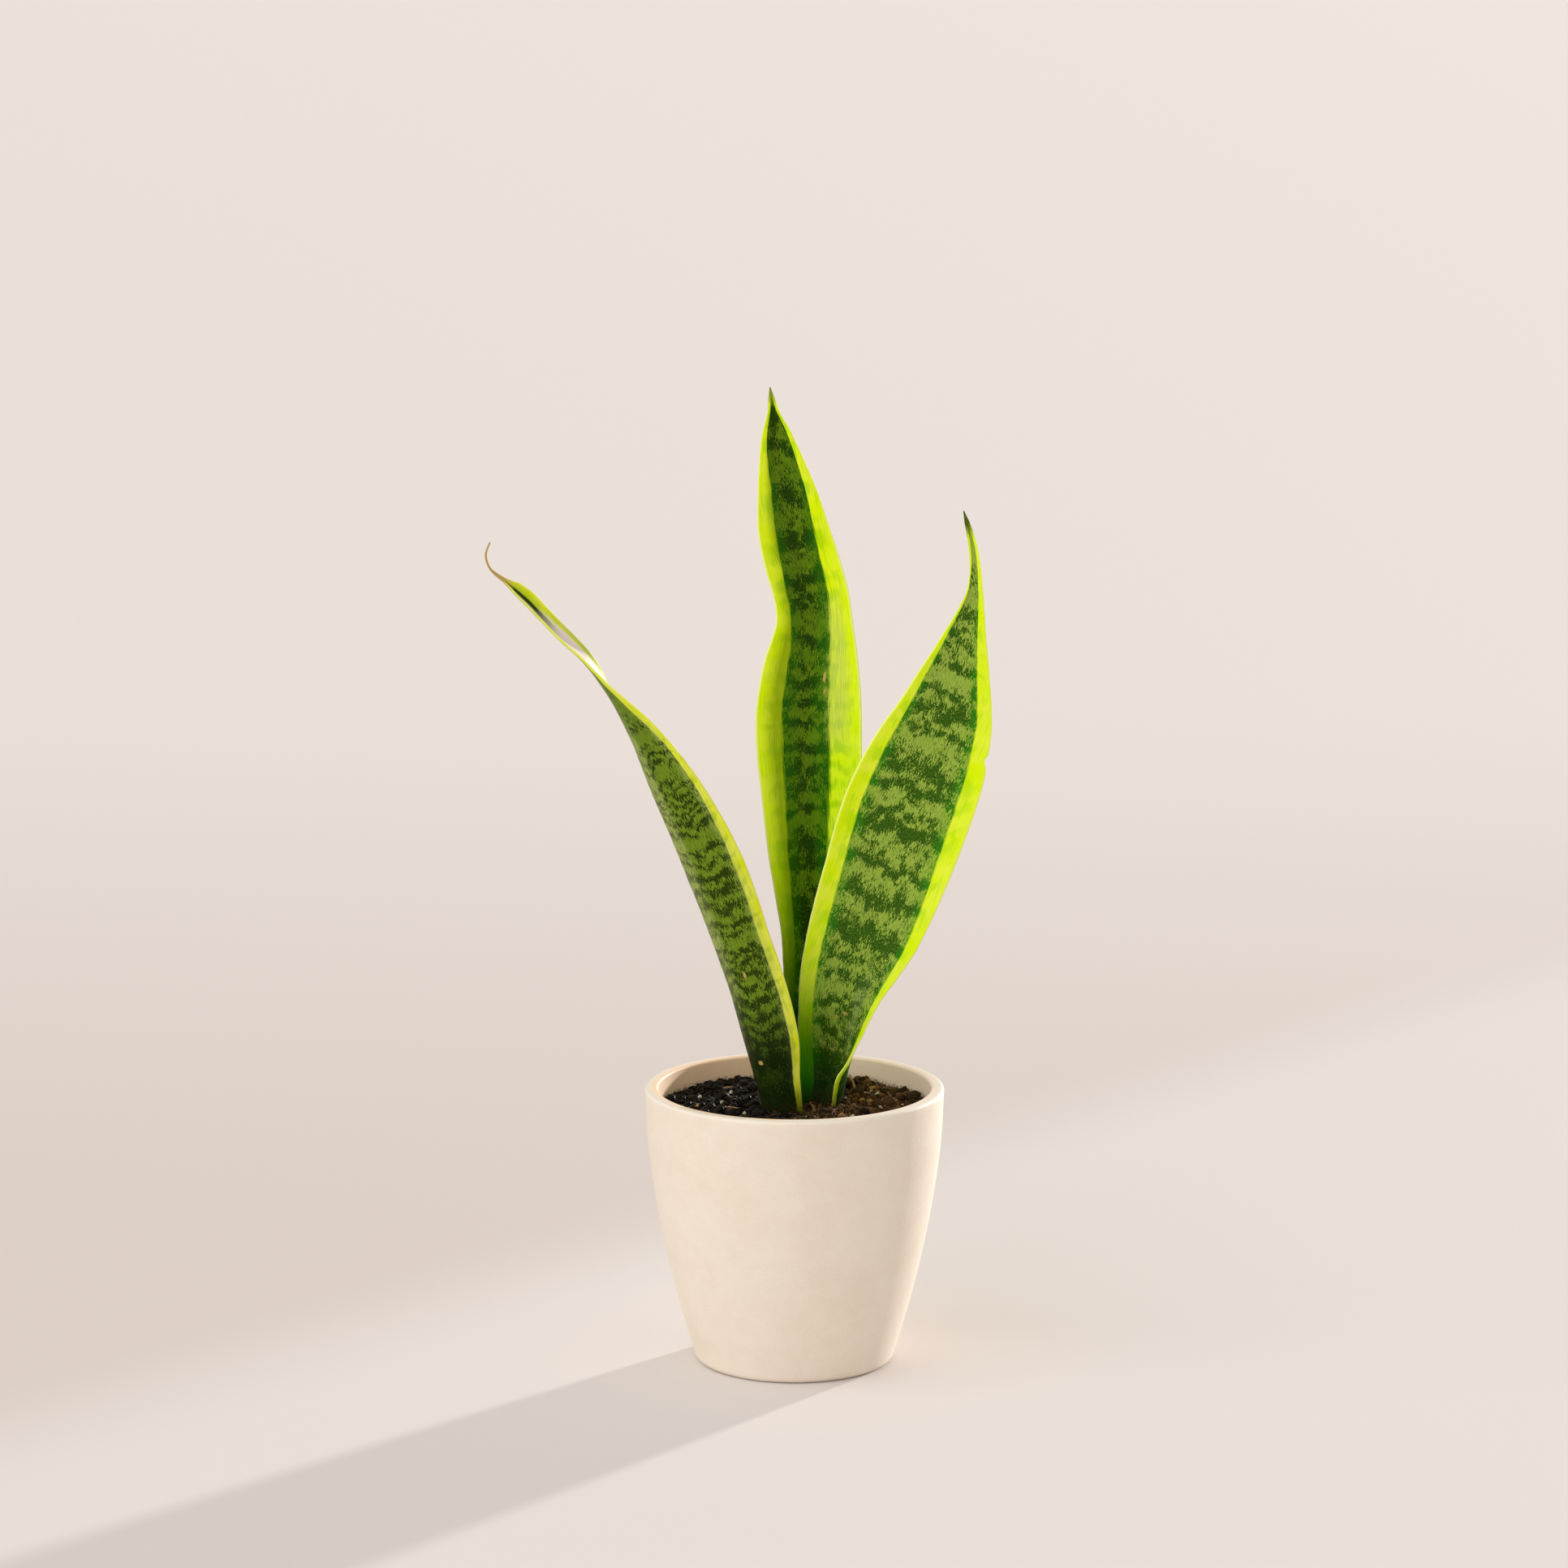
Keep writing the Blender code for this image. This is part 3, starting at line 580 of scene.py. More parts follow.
# %% [markdown]
# ## Leaf shape
# A snake plant's leaf is one thick blade, folded into a channel at its base and flatter above, with
# thin hard margins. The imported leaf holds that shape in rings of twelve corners: seven over the
# inner face from margin to margin, and five back over the outer face. We find the middle surface
# halfway between the faces and half the thickness there, run a smooth curve through both, and put
# the two faces back with a rounded margin. Working on the middle surface keeps the blade's
# thickness true, which smoothing the outside would not.

# %% Leaf rings
ACROSS = np.array((-1.0, -0.78, -0.42, 0.0, 0.42, 0.78, 1.0))  # a packed ring's corners, from side to side
SIDE = len(ACROSS) - 1  # the ring's corner at the right margin


def loop_of(members, ends):
    """Members of one ring in order round it."""
    inside = set(members.tolist())
    pairs = [(a, b) for a, b in ends.tolist() if a in inside and b in inside]
    near = {member: {b for a, b in pairs if a == member} for member in inside}
    loop = [members[0]]
    while len(loop) < len(members):
        loop.append(next(other for other in near[loop[-1]] if other not in loop))
    return loop


def leaf_rings(name):
    """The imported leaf's rings from the base to the tip, each from the left margin over the inner face."""
    corners, faces = welded(name)
    step, ends = steps_from(corners[:, 2] < corners[:, 2].min() + WELD * 10, corners, faces)
    last = step.max()
    middles = np.array([corners[step == k].mean(axis=0) for k in range(last + 1)])
    sizes = [np.linalg.norm(corners[step == k] - middles[k], axis=1).max() for k in range(last + 1)]
    rings = []
    for k in range(1, last):
        ring = corners[loop_of(np.flatnonzero(step == k), ends)]
        spans = [np.linalg.norm(ring[i] - ring[i + SIDE]) for i in range(SIDE)]
        ring = np.roll(ring, -int(np.argmax(spans)), axis=0)
        chord = (ring[0] + ring[SIDE]) / 2
        inner, outer = ring[1:SIDE].mean(axis=0), ring[SIDE + 1:].mean(axis=0)
        if np.linalg.norm(inner - chord) > np.linalg.norm(outer - chord):
            ring = np.roll(ring[::-1], 1, axis=0)
            inner, outer = outer, inner
        right = np.cross(middles[k + 1] - middles[k - 1], inner - outer)
        if right @ (ring[SIDE] - ring[0]) < 0:
            ring = np.concatenate([ring[SIDE::-1], ring[:SIDE:-1]])
        rings.append(ring)
    base = middles[0] + (rings[0] - rings[0].mean(axis=0)) * sizes[0] / sizes[1]
    tip = middles[last] + (rings[-1] - rings[-1].mean(axis=0)) * sizes[last] / sizes[last - 1]
    return np.array([base, *rings, tip])


for leaf_name in ("leaf_left", "leaf_right", "leaf_centre"):
    print(leaf_name, "has", len(leaf_rings(leaf_name)), "rings")

# %% [markdown]
# ## Laying out a leaf's pattern
# The bands across a leaf are dark cells that grew in rows. On this plant some leaves have broad
# rows and some have thin ones, so each leaf gets a short list of rows: how far above the
# soil, how thick, and how dark. Slow noise bends them into the zigzag that all snake plants have.
# The list becomes one number for each corner of the skin, and the ragged edges come later, in the
# material, because they are finer than the skin's corners. The yellow margins are laid out the same
# way, from how far in they reach at a few heights, and so are a few patches: pale ones, which are
# painted sheen on the left and right leaves and a paler band on the centre leaf, painted shade on
# the centre leaf's left half and painted reflection on the left leaf. The weave says how far a
# leaf's rows swing, how ragged they are and how they clot.

# %% Leaf patterns
# Heights and thicknesses are millimetres above the soil, places across are shares of half the width
# from -1 on the left to 1 on the right.
# rows: height, half thickness, darkness
# margins: height, inner edge of the left margin, of the right margin
# narrowing: height, reach and share of a place where the right side folds in
# scars: millimetres right of the spine, height, half width, half height
# patches: kind, from and to which height, from and to which place across
# weave: swing and comb of the rows in metres, and how much they clot
# thread: height in metres where the dry tip's thread starts, and how much narrower it is
LEAF_LEFT = {
    "rows": (
        (274, 12.0, 1.3), (206, 0.9, 0.60), (197, 1.2, 0.75), (186, 0.9, 0.75), (181, 1.0, 1.0),
        (176, 0.8, 0.85), (166, 1.8, 0.70), (161, 1.1, 0.85), (157, 0.9, 0.85), (153, 0.9, 0.90),
        (149, 1.0, 0.95), (143, 1.3, 1.0), (133, 1.0, 0.95), (127, 1.2, 0.90), (120, 1.8, 0.90),
        (113, 2.2, 0.85), (106, 2.4, 0.85), (97, 1.2, 0.90), (92, 1.3, 0.85), (83, 1.3, 0.95),
        (78, 2.0, 0.80), (71, 2.2, 0.95), (64, 1.6, 0.90), (57, 2.4, 0.90), (50, 2.0, 0.90),
        (43, 1.8, 0.85), (36, 2.8, 1.0), (27, 6.0, 0.95), (10, 9.0, 0.80),
    ),
    "margins": (
        (0, 0.80, 0.82), (60, 0.78, 0.84), (120, 0.77, 0.86), (160, 0.83, 0.88), (185, 0.84, 0.88),
        (205, 0.74, 0.80), (225, 0.80, 0.55), (250, 0.86, 0.24), (286, 0.80, 0.10), (306, 0.50, 0.50),
    ),
    "narrowing": (252.0, 24.0, 0.36),
    "scars": ((1.0, 27.0, 1.6, 1.1), (-3.0, 71.0, 0.8, 2.0)),
    "patches": (
        ("wan", 5, 215, -0.83, -0.75), ("wan", 52, 205, 0.20, 1.2), ("wan", 196, 264, 0.62, 1.2),
        ("papery", 200, 268, -0.88, 0.60), ("papery", 256, 284, -0.88, -0.42),
    ),
    "weave": (0.0048, 0.0022, 0.56),
    "thread": (0.281, 0.45),
    "seed": 11.0,
}
LEAF_RIGHT = {
    "rows": (
        (262, 2.5, 0.60), (249, 3.2, 0.80), (241, 2.5, 0.85), (234, 1.6, 0.70), (223, 2.6, 0.95),
        (209, 2.6, 0.70), (200, 4.6, 0.90), (190, 2.6, 0.75), (172, 4.6, 0.95), (162, 3.4, 0.95),
        (149, 1.8, 0.85), (141, 4.6, 1.0), (132, 1.6, 0.55), (123, 3.0, 1.0), (107, 4.6, 0.85),
        (88, 6.0, 0.90), (76, 3.4, 0.62), (66, 5.5, 0.66), (50, 6.0, 0.58), (37, 5.0, 0.72),
        (18, 12.0, 0.95),
    ),
    "margins": (
        (0, 0.62, 0.90), (60, 0.64, 0.87), (90, 0.68, 0.81), (130, 0.72, 0.73), (170, 0.74, 0.70),
        (200, 0.78, 0.69), (225, 0.81, 0.63), (250, 0.89, 0.57), (265, 0.94, 0.44), (290, 0.60, 0.60),
    ),
    "scars": ((4.6, 47.5, 2.2, 0.8), (1.0, 44.5, 1.2, 0.7), (-1.5, 26.5, 2.4, 0.6)),
    "patches": (("wan", 24, 74, 0.40, 0.62),),
    "weave": (0.0058, 0.0030, 0.70),
    "thread": (0.285, 0.10),
    "seed": 23.0,
}
LEAF_CENTRE = {
    "rows": (
        (326, 6.0, 0.95), (313, 4.0, 0.80), (290, 6.0, 0.86), (269, 6.0, 0.98), (248.5, 3.6, 1.0),
        (239, 5.0, 0.80), (219.5, 2.8, 1.0), (209, 3.0, 0.60), (200, 3.6, 0.82), (190.5, 2.2, 0.95),
        (181, 2.0, 1.0), (168, 3.4, 0.92), (159, 3.0, 0.86), (151, 3.2, 0.88), (140, 2.2, 0.92),
        (124, 3.6, 1.0), (115, 3.6, 1.0), (90, 11.0, 0.98), (62, 9.0, 0.90), (40, 10.0, 0.95),
        (15, 14.0, 1.0),
    ),
    "margins": (
        (0, 0.66, 0.50), (90, 0.64, 0.40), (120, 0.57, 0.29), (160, 0.51, 0.40), (212, 0.50, 0.38),
        (228, 0.63, 0.39), (245, 0.67, 0.44), (258, 0.60, 0.49), (272, 0.52, 0.57), (295, 0.54, 0.67),
        (312, 0.68, 0.75), (326, 0.74, 0.79), (345, 0.60, 0.60),
    ),
    "scars": ((6.6, 203.0, 0.7, 3.0), (7.2, 196.0, 0.5, 2.0)),
    "patches": (
        ("wan", 164, 244, 0.36, 0.76), ("olive", 10, 262, -0.78, -0.40),
        ("olive", 246, 345, -0.67, -0.46), ("dusk", 60, 345, -0.70, 0.02),
    ),
    "weave": (0.0040, 0.0024, 0.72),
    "thread": (0.3365, 0.40),
    "seed": 37.0,
}
ZIGZAG = (0.0085, 0.022)  # metres across and along a leaf, from one wave to the next
TEETH = (0.0013, 0.006)
CLUMPS = (0.0042, 0.0055)
ROW_EDGE = 2.2  # a higher power gives a row a harder edge
PATCH_SOFTNESS = {"olive": 0.26, "dusk": 0.16, "wan": 0.20, "papery": 0.10}  # across, as a share
PATCH_FADE = 16  # millimetres along
# The four kinds, in order: pale patches, which are painted sheen on the left and right leaves and a paler
# band on the centre leaf; painted shade on a margin; painted reflection; painted shade on the blade.
PATCH_KINDS = ("wan", "olive", "papery", "dusk")


def row_darkness(rows, weave, across, along, seed):
    """How dark the rows make a place on a leaf: mostly 0 to 1."""
    swing, comb, clot = weave
    bend = noise.noise(Vector((across / ZIGZAG[0], along / ZIGZAG[1], seed)))
    fine_bend = noise.noise(Vector((across / TEETH[0], along / TEETH[1], seed + 5.0)))
    clump = noise.noise(Vector((across / CLUMPS[0], along / CLUMPS[1], seed + 9.0)))
    height = 1000 * (along + swing * bend + comb * fine_bend)
    rows_here = max(dark / (1 + (abs(height - row) / half) ** ROW_EDGE) for row, half, dark in rows)
    return rows_here + clot * clump


def scar_depth(scars, across, along):
    """How deep a place lies in a scar, from 0 to 1."""
    return max(
        math.exp(-(((1000 * across - x) / wide) ** 2) - ((1000 * along - y) / tall) ** 2)
        for x, y, wide, tall in scars
    )


def patch_share(patches, kind, across, along):
    """How much of one kind of patch a place has, from 0 to 1."""
    shares = [0.0]
    soft = PATCH_SOFTNESS[kind]
    for name, start, end, left, right in patches:
        if name == kind:
            lengthwise = min(1000 * along - start, end - 1000 * along, PATCH_FADE) / PATCH_FADE
            sideways = min((across - left) / soft + 0.5, (right - across) / soft + 0.5, 1.0)
            shares.append(max(0.0, lengthwise) * max(0.0, sideways))
    return max(shares)


print("rows on each leaf:", [len(leaf["rows"]) for leaf in (LEAF_LEFT, LEAF_RIGHT, LEAF_CENTRE)])

# %% [markdown]
# ## The middle sheet of a leaf
# We start with the middle surface alone, about one corner a millimetre, with columns closer together
# towards the margins, where the shape turns fastest. It runs through the middles of the packed
# rings, first along the leaf and then across. The cross product of the two directions is the way
# the face looks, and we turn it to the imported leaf's inner side.

# %% Leaf sheet
LEAF_STEP = 0.0010
LEAF_COLUMNS = 85
SPINE = LEAF_COLUMNS // 2
PACKED_SPINE = len(ACROSS) // 2
SOIL_LEVEL = soil_high.z - 0.0032  # where a leaf's height above the soil is 0


def leaf_middle(rings):
    """The surface halfway between a leaf's faces, half the thickness, and the way its inner face looks."""
    inner = rings[:, :SIDE + 1]
    outer = np.concatenate([rings[:, :1], rings[:, SIDE + 1:][:, ::-1], rings[:, SIDE:SIDE + 1]], axis=1)
    apart = inner - outer
    return (inner + outer) / 2, np.linalg.norm(apart, axis=2) / 2, apart[:, PACKED_SPINE]


def columns(count):
    """Places across a leaf from -1 to 1, closer together towards the margins."""
    even = np.linspace(-1.0, 1.0, count)
    return 0.6 * even + 0.4 * np.sin(even * math.pi / 2)


def leaf_sheet(name, across):
    """The fine middle surface, its facing, half the thickness at the spine, and two distances along
    the spine for each row of corners: from the soil up, and on to the tip."""
    middle, depth, looks = leaf_middle(leaf_rings(name))
    run = distance_along(middle[:, PACKED_SPINE])
    soil_at = float(np.interp(SOIL_LEVEL, middle[:, PACKED_SPINE, 2], run))
    along = np.linspace(0.0, run[-1], int(run[-1] / LEAF_STEP))
    spine_depth = curve_through(depth[:, PACKED_SPINE], run, along)[:, None]
    sheet = curve_through(middle, run, along)
    sheet = np.swapaxes(curve_through(np.swapaxes(sheet, 0, 1), ACROSS, across), 0, 1)
    face = np.cross(np.gradient(sheet, axis=1), np.gradient(sheet, axis=0))
    face /= np.maximum(np.linalg.norm(face, axis=2, keepdims=True), 1e-12)
    inward = curve_through(looks, run, along)
    face *= np.sign((face[:, SPINE] * inward).sum(axis=1))[:, None, None]
    return sheet, face, spine_depth, along - soil_at, run[-1] - along


def width_over(sheet):
    """How far over the surface each corner is from the spine, and half the blade's width in each row."""
    steps = np.linalg.norm(np.diff(sheet, axis=1), axis=2)
    width = np.concatenate([np.zeros((len(sheet), 1)), np.cumsum(steps, axis=1)], axis=1)
    width -= width[:, SPINE][:, None]
    return width, np.minimum(width[:, -1], -width[:, 0])[:, None]


print("soil level", round(SOIL_LEVEL, 4))

# %% [markdown]
# ## Margins that live
# The margins of a living leaf waver a little, one folds in before its tip, the tips end in a thin
# dry thread and one margin has a small nick. All of that shows in the outline, so it is shape, not
# paint: the sheet's corners are moved, those at the margins most.

# %% Leaf margins
MARGIN_WAVER = 0.00035  # metres out of the blade
LONG_WAVE, SHORT_WAVE = 0.018, 0.005  # metres from one wave to the next
STEADY_WIDTH = 0.01  # a blade narrower than this wavers less
THREAD_START = 0.006  # metres over which a tip thins to its thread
POINT_LENGTH, POINT_SHARE = 0.005, 0.75  # the thread's own point
NICK_REACH = 0.004  # how far in from the margin a nick bends the blade


def waver_margins(sheet, face, half, above, across, seed):
    bend = (across**4 * np.sign(across))[:, None]
    for i, place in enumerate(above):
        waver = noise.noise(Vector((place / LONG_WAVE, seed, 0.0)))
        waver += 0.5 * noise.noise(Vector((place / SHORT_WAVE, seed, 3.0)))
        sheet[i] += face[i] * (MARGIN_WAVER * waver * bend) * min(1.0, half[i, 0] / STEADY_WIDTH)


def narrow(sheet, above, to_tip, leaf):
    """Folds a margin in where the leaf says so, and draws the tip out to its thread."""
    height, reach, share = leaf.get("narrowing", (0.0, 1.0, 0.0))
    pull = share * np.exp(-(((1000 * above - height) / reach) ** 4))
    sheet += (sheet[:, :1] - sheet) * pull[:, None, None]
    start, thinner = leaf["thread"]
    thread = thinner * np.clip((above - start) / THREAD_START, 0, 1)
    point = (POINT_SHARE - thinner) * np.clip(1 - to_tip / POINT_LENGTH, 0, 1)
    sheet += (sheet[:, SPINE][:, None] - sheet) * (thread + point)[:, None, None]


def cut_nick(sheet, half, above, across, height, deep, wide, side):
    """A nick in the right margin (side 1) or the left one (-1)."""
    notch = deep * np.exp(-(((above - height) / wide) ** 2))
    edge = 0 if side < 0 else -1
    towards = sheet[:, SPINE] - sheet[:, edge]
    towards /= np.linalg.norm(towards, axis=1, keepdims=True)
    near = np.clip(1 - (1 - side * across) * half / NICK_REACH, 0, 1) ** 2
    sheet += near[:, :, None] * notch[:, None, None] * towards[:, None]


print("margins waver by", round(1000 * MARGIN_WAVER, 2), "mm")

# %% [markdown]
# ## Skinning a leaf
# Now the sheet gets its thickness: a face on either side, thick at the spine and thin at the margin,
# which is rounded. Every corner keeps numbers for the material: where it lies on the leaf in metres,
# how far into the margin it is, how dark its row is, whether it is scarred, and its share of each
# kind of patch.

# %% Leaf skin
EDGE_DEPTH = 0.0005  # half the thickness at a margin
EDGE_ROUND = 0.0009  # how wide the rounding of a margin is
FACE_APART = 0.004  # keeps the two faces' patterns apart
BACK = slice(LEAF_COLUMNS - 2, 0, -1)  # the outer face's columns, from right to left


def leaf_loops(sheet, face, half, spine_depth, across):
    """Closed loops of corners: over the inner face to the right, and back over the outer face."""
    middle_extra = np.maximum(0.0, spine_depth - EDGE_DEPTH) * (1 - across**2)
    thick = np.minimum(EDGE_DEPTH, spine_depth) + middle_extra
    rounding = np.clip(1 - (1 - np.abs(across)) * half / EDGE_ROUND, 0.0, 1.0)
    thick = (thick * np.sqrt(1 - rounding**2))[:, :, None]
    return np.concatenate([sheet + face * thick, (sheet - face * thick)[:, BACK]], axis=1)


def leaf_faces(rings, count):
    """Faces between the loops, and caps of thin quads over the first and the last."""
    faces = []
    for ring in range(rings - 1):
        low, high = ring * count, (ring + 1) * count
        for i in range(count):
            j = (i + 1) % count
            faces.append((low + i, low + j, high + j, high + i))
    for start in (0, (rings - 1) * count):
        for i in range(LEAF_COLUMNS - 1):
            other_side = (start + (count - i - 1) % count, start + (count - i) % count)
            faces.append(tuple(dict.fromkeys((start + i, start + i + 1, *other_side))))
    return faces


def leaf_values(name, leaf, width, above, across):
    """What the leaf's material reads at each corner."""
    side = np.r_[np.ones(LEAF_COLUMNS), -np.ones(LEAF_COLUMNS - 2)]
    across = np.concatenate([across, across[BACK]])
    width = np.concatenate([width, width[:, BACK]], axis=1)
    height = np.repeat(above[:, None], len(across), axis=1)
    layer = np.repeat(FACE_APART * side[None], len(above), axis=0)
    lay = np.stack([width, height, layer], axis=2).reshape(-1, 3)
    margins = np.array(leaf["margins"])
    left, right = [np.interp(1000 * above, margins[:, 0], margins[:, k])[:, None] for k in (1, 2)]
    inside = np.where(across < 0, left, right)
    rim = (np.abs(across) - inside) / (1 - inside)
    both_faces = name == "leaf_left"
    seed = leaf["seed"]
    values = {
        "lay": lay,
        "rim": rim.ravel(),
        "row": [row_darkness(leaf["rows"], leaf["weave"], x, y, seed + z * 40) for x, y, z in lay],
        "scar": [scar_depth(leaf["scars"], x, y) * (z > 0 or both_faces) for x, y, z in lay],
    }
    for kind in PATCH_KINDS:
        shares = np.array([[patch_share(leaf["patches"], kind, u, y) for u in across] for y in above])
        # The painted reflection lies on the inner face only.
        values[kind] = (shares * (side > 0) if kind == "papery" else shares).ravel()
    return values


def skin_leaf(name, leaf, nicks=()):
    across = columns(LEAF_COLUMNS)
    sheet, face, spine_depth, above, to_tip = leaf_sheet(name, across)
    width, half = width_over(sheet)
    waver_margins(sheet, face, half, above, across, leaf["seed"])
    narrow(sheet, above, to_tip, leaf)
    for nick in nicks:
        cut_nick(sheet, half, above, across, *nick)
    loops = leaf_loops(sheet, face, half, spine_depth, across)
    print(name, "stands", round(1000 * above[-1]), "mm out of the soil")
    faces = leaf_faces(len(above), loops.shape[1])
    return loops.reshape(-1, 3), faces, leaf_values(name, leaf, width, above, across)


print("columns across a leaf:", LEAF_COLUMNS)

# %% [markdown]
# ## The leaf's finish
# A leaf is drawn in two layers, each a group. The blade is pale green with dark rows, and the rows
# break up into short lengthwise dashes, because leaf cells are long and thin. The margin is one
# clear yellow-green with soft paler blocks and a thin paler line at its very edge. A painted picture
# would be easier to match, but it would stretch at the folds; these dashes keep their true size everywhere.

# %% Leaf blade and margin groups
LEAF_INPUTS = [
    ("Lay", "Vector", None), ("Row", "Float", 0.0), ("Rim", "Float", -1.0), ("Seed", "Float", 0.0),
]
WHITE, BLACK = (1, 1, 1, 1), (0, 0, 0, 1)


def build_leaf_blade():
    """Pale and dark inside the blade, and the pair of colours it turns to beside the margin."""
    tree, given, result = start_group(
        "leaf_blade",
        LEAF_INPUTS + [("Pale", "Color", WHITE), ("Dark", "Color", BLACK),
                       ("Pale Beside", "Color", WHITE), ("Dark Beside", "Color", BLACK)],
        [("Color", "Color"), ("Dark", "Float"), ("Fibre", "Float")],
    )
    lay, seed = given["Lay"], given["Seed"]
    dash = fibres(tree, lay, 0.00048, 0.0027, seed=seed)
    fine = fibres(tree, lay, 0.00026, 0.0010, seed=seed)
    blot = mottle(tree, lay, 0.0022, 2.0, seed)
    ragged = given["Row"]
    for grain, share in ((dash, 2.3), (fine, 1.7), (blot, 0.25)):
        ragged = maths(tree, "MULTIPLY_ADD", grain, share, ragged)
    dark = stepped(tree, ragged, 2.49, 2.72)
    beside = stepped(tree, maths(tree, "MULTIPLY_ADD", dash, 1.6, given["Rim"]), 0.05, 0.75)
    pale = mixed(tree, beside, given["Pale"], given["Pale Beside"])
    grained = maths(tree, "MULTIPLY", stepped(tree, dash, 0.35, 0.6), 0.22)
    pale = mixed(tree, grained, pale, given["Dark"])
    deep = mixed(tree, beside, given["Dark"], given["Dark Beside"])
    flecked = maths(tree, "MULTIPLY", stepped(tree, fine, 0.58, 0.36), 0.22)
    deep = mixed(tree, flecked, deep, given["Pale"])
    tree.links.new(mixed(tree, dark, pale, deep), result["Color"])
    tree.links.new(dark, result["Dark"])
    tree.links.new(dash, result["Fibre"])


def build_leaf_margin():
    tree, given, result = start_group(
        "leaf_margin",
        LEAF_INPUTS + [("Bright", "Color", WHITE), ("Light", "Color", WHITE), ("Green", "Color", WHITE)],
        [("Color", "Color"), ("Mask", "Float"), ("Line", "Float")],
    )
    lay, seed, rim = given["Lay"], given["Seed"], given["Rim"]
    cloud = mottle(tree, lay, 0.0085, 2.0, seed)
    line = fibres(tree, lay, 0.0005, 0.014, seed=seed)
    inner = stepped(tree, maths(tree, "MULTIPLY_ADD", line, 0.25, rim), 0.07, 0.20)
    colour = mixed(tree, maths(tree, "MULTIPLY", cloud, 0.75), given["Bright"], given["Light"])
    mark = stepped(tree, maths(tree, "MULTIPLY_ADD", line, 1.6, given["Row"]), 1.15, 1.75)
    mark = maths(tree, "MULTIPLY", mark, stepped(tree, rim, 1.0, 0.25))
    colour = mixed(tree, maths(tree, "MULTIPLY", mark, 0.55), colour, given["Green"])
    veined = maths(tree, "MULTIPLY", stepped(tree, line, 0.5, 0.75), 0.35)
    colour = mixed(tree, veined, colour, given["Green"])
    colour = tinted(tree, stepped(tree, rim, 0.90, 1.0), 0.75, colour, (250, 250, 176))
    tree.links.new(colour, result["Color"])
    tree.links.new(inner, result["Mask"])
    tree.links.new(line, result["Line"])


build_leaf_blade()
build_leaf_margin()
print("leaf layers:", [group.name for group in bpy.data.node_groups if group.name.startswith("leaf")])

# %% [markdown]
# ## One material for each leaf
# The leaves of one plant differ: an old one greys, a young one in the shade stays deep green. So
# each leaf gets its own material from the same layers, with its own greens. Over the layers come the
# patches of painted sheen, paler band, painted shade and painted reflection, a dark foot of painted
# shade where the leaf leaves the soil, painted shade in the last two centimetres above the soil, and
# what time leaves on a leaf: a dry brown tip, corky scars and a splash of soil dust. The surface is
# waxy, so it is fairly smooth, with a low relief of fibres.

# %% Leaf material
FOOT_FADE = 0.3  # the share of the painted shade's height at the foot that is darkest
GREEN_FADE = 0.2  # and the same for the margins' green foot
PAINTED_SOIL_SHADE_TO = 0.020  # metres above the soil that the painted shade by the soil reaches
DRYING = 0.009  # metres over which a tip dries out
BLADE_COLOURS = ("pale", "dark", "pale beside", "dark beside")
MARGIN_COLOURS = ("bright", "light", "green")


def leaf_rim(tree, margin, above, sideways, green, olive, shade):
    """The margin's colour: olive, a painted shade, where the leaf has such a patch, and green at the foot."""
    ragged = maths(tree, "MULTIPLY_ADD", margin["Line"], 0.03, above)
    green_low = stepped(tree, ragged, green + 0.015, GREEN_FADE * green)
    green_low = maths(tree, "MULTIPLY", green_low, stepped(tree, sideways, 0.004, -0.002))
    # Painted shade: the margin turns olive inside a patch of it.
    colour = mixed(tree, maths(tree, "MULTIPLY", olive, 0.75), margin["Color"], shade["olive"])
    colour = mixed(tree, green_low, colour, shade["green_foot"])
    stripe = maths(tree, "MULTIPLY", green_low, stepped(tree, margin["Line"], 0.48, 0.62))
    return mixed(tree, maths(tree, "MULTIPLY", stripe, 0.45), colour, shade["foot"])


def wan_share(tree, blade, margin, on_blade):
    """How far a pale patch covers what is there: less over dark cells and between the margin's veins."""
    clear = maths(tree, "MULTIPLY", blade["Dark"], on_blade)
    clear = maths(tree, "MULTIPLY_ADD", clear, -0.5, 0.75)
    return maths(tree, "MULTIPLY", clear, stepped(tree, margin["Line"], 0.15, 0.62))


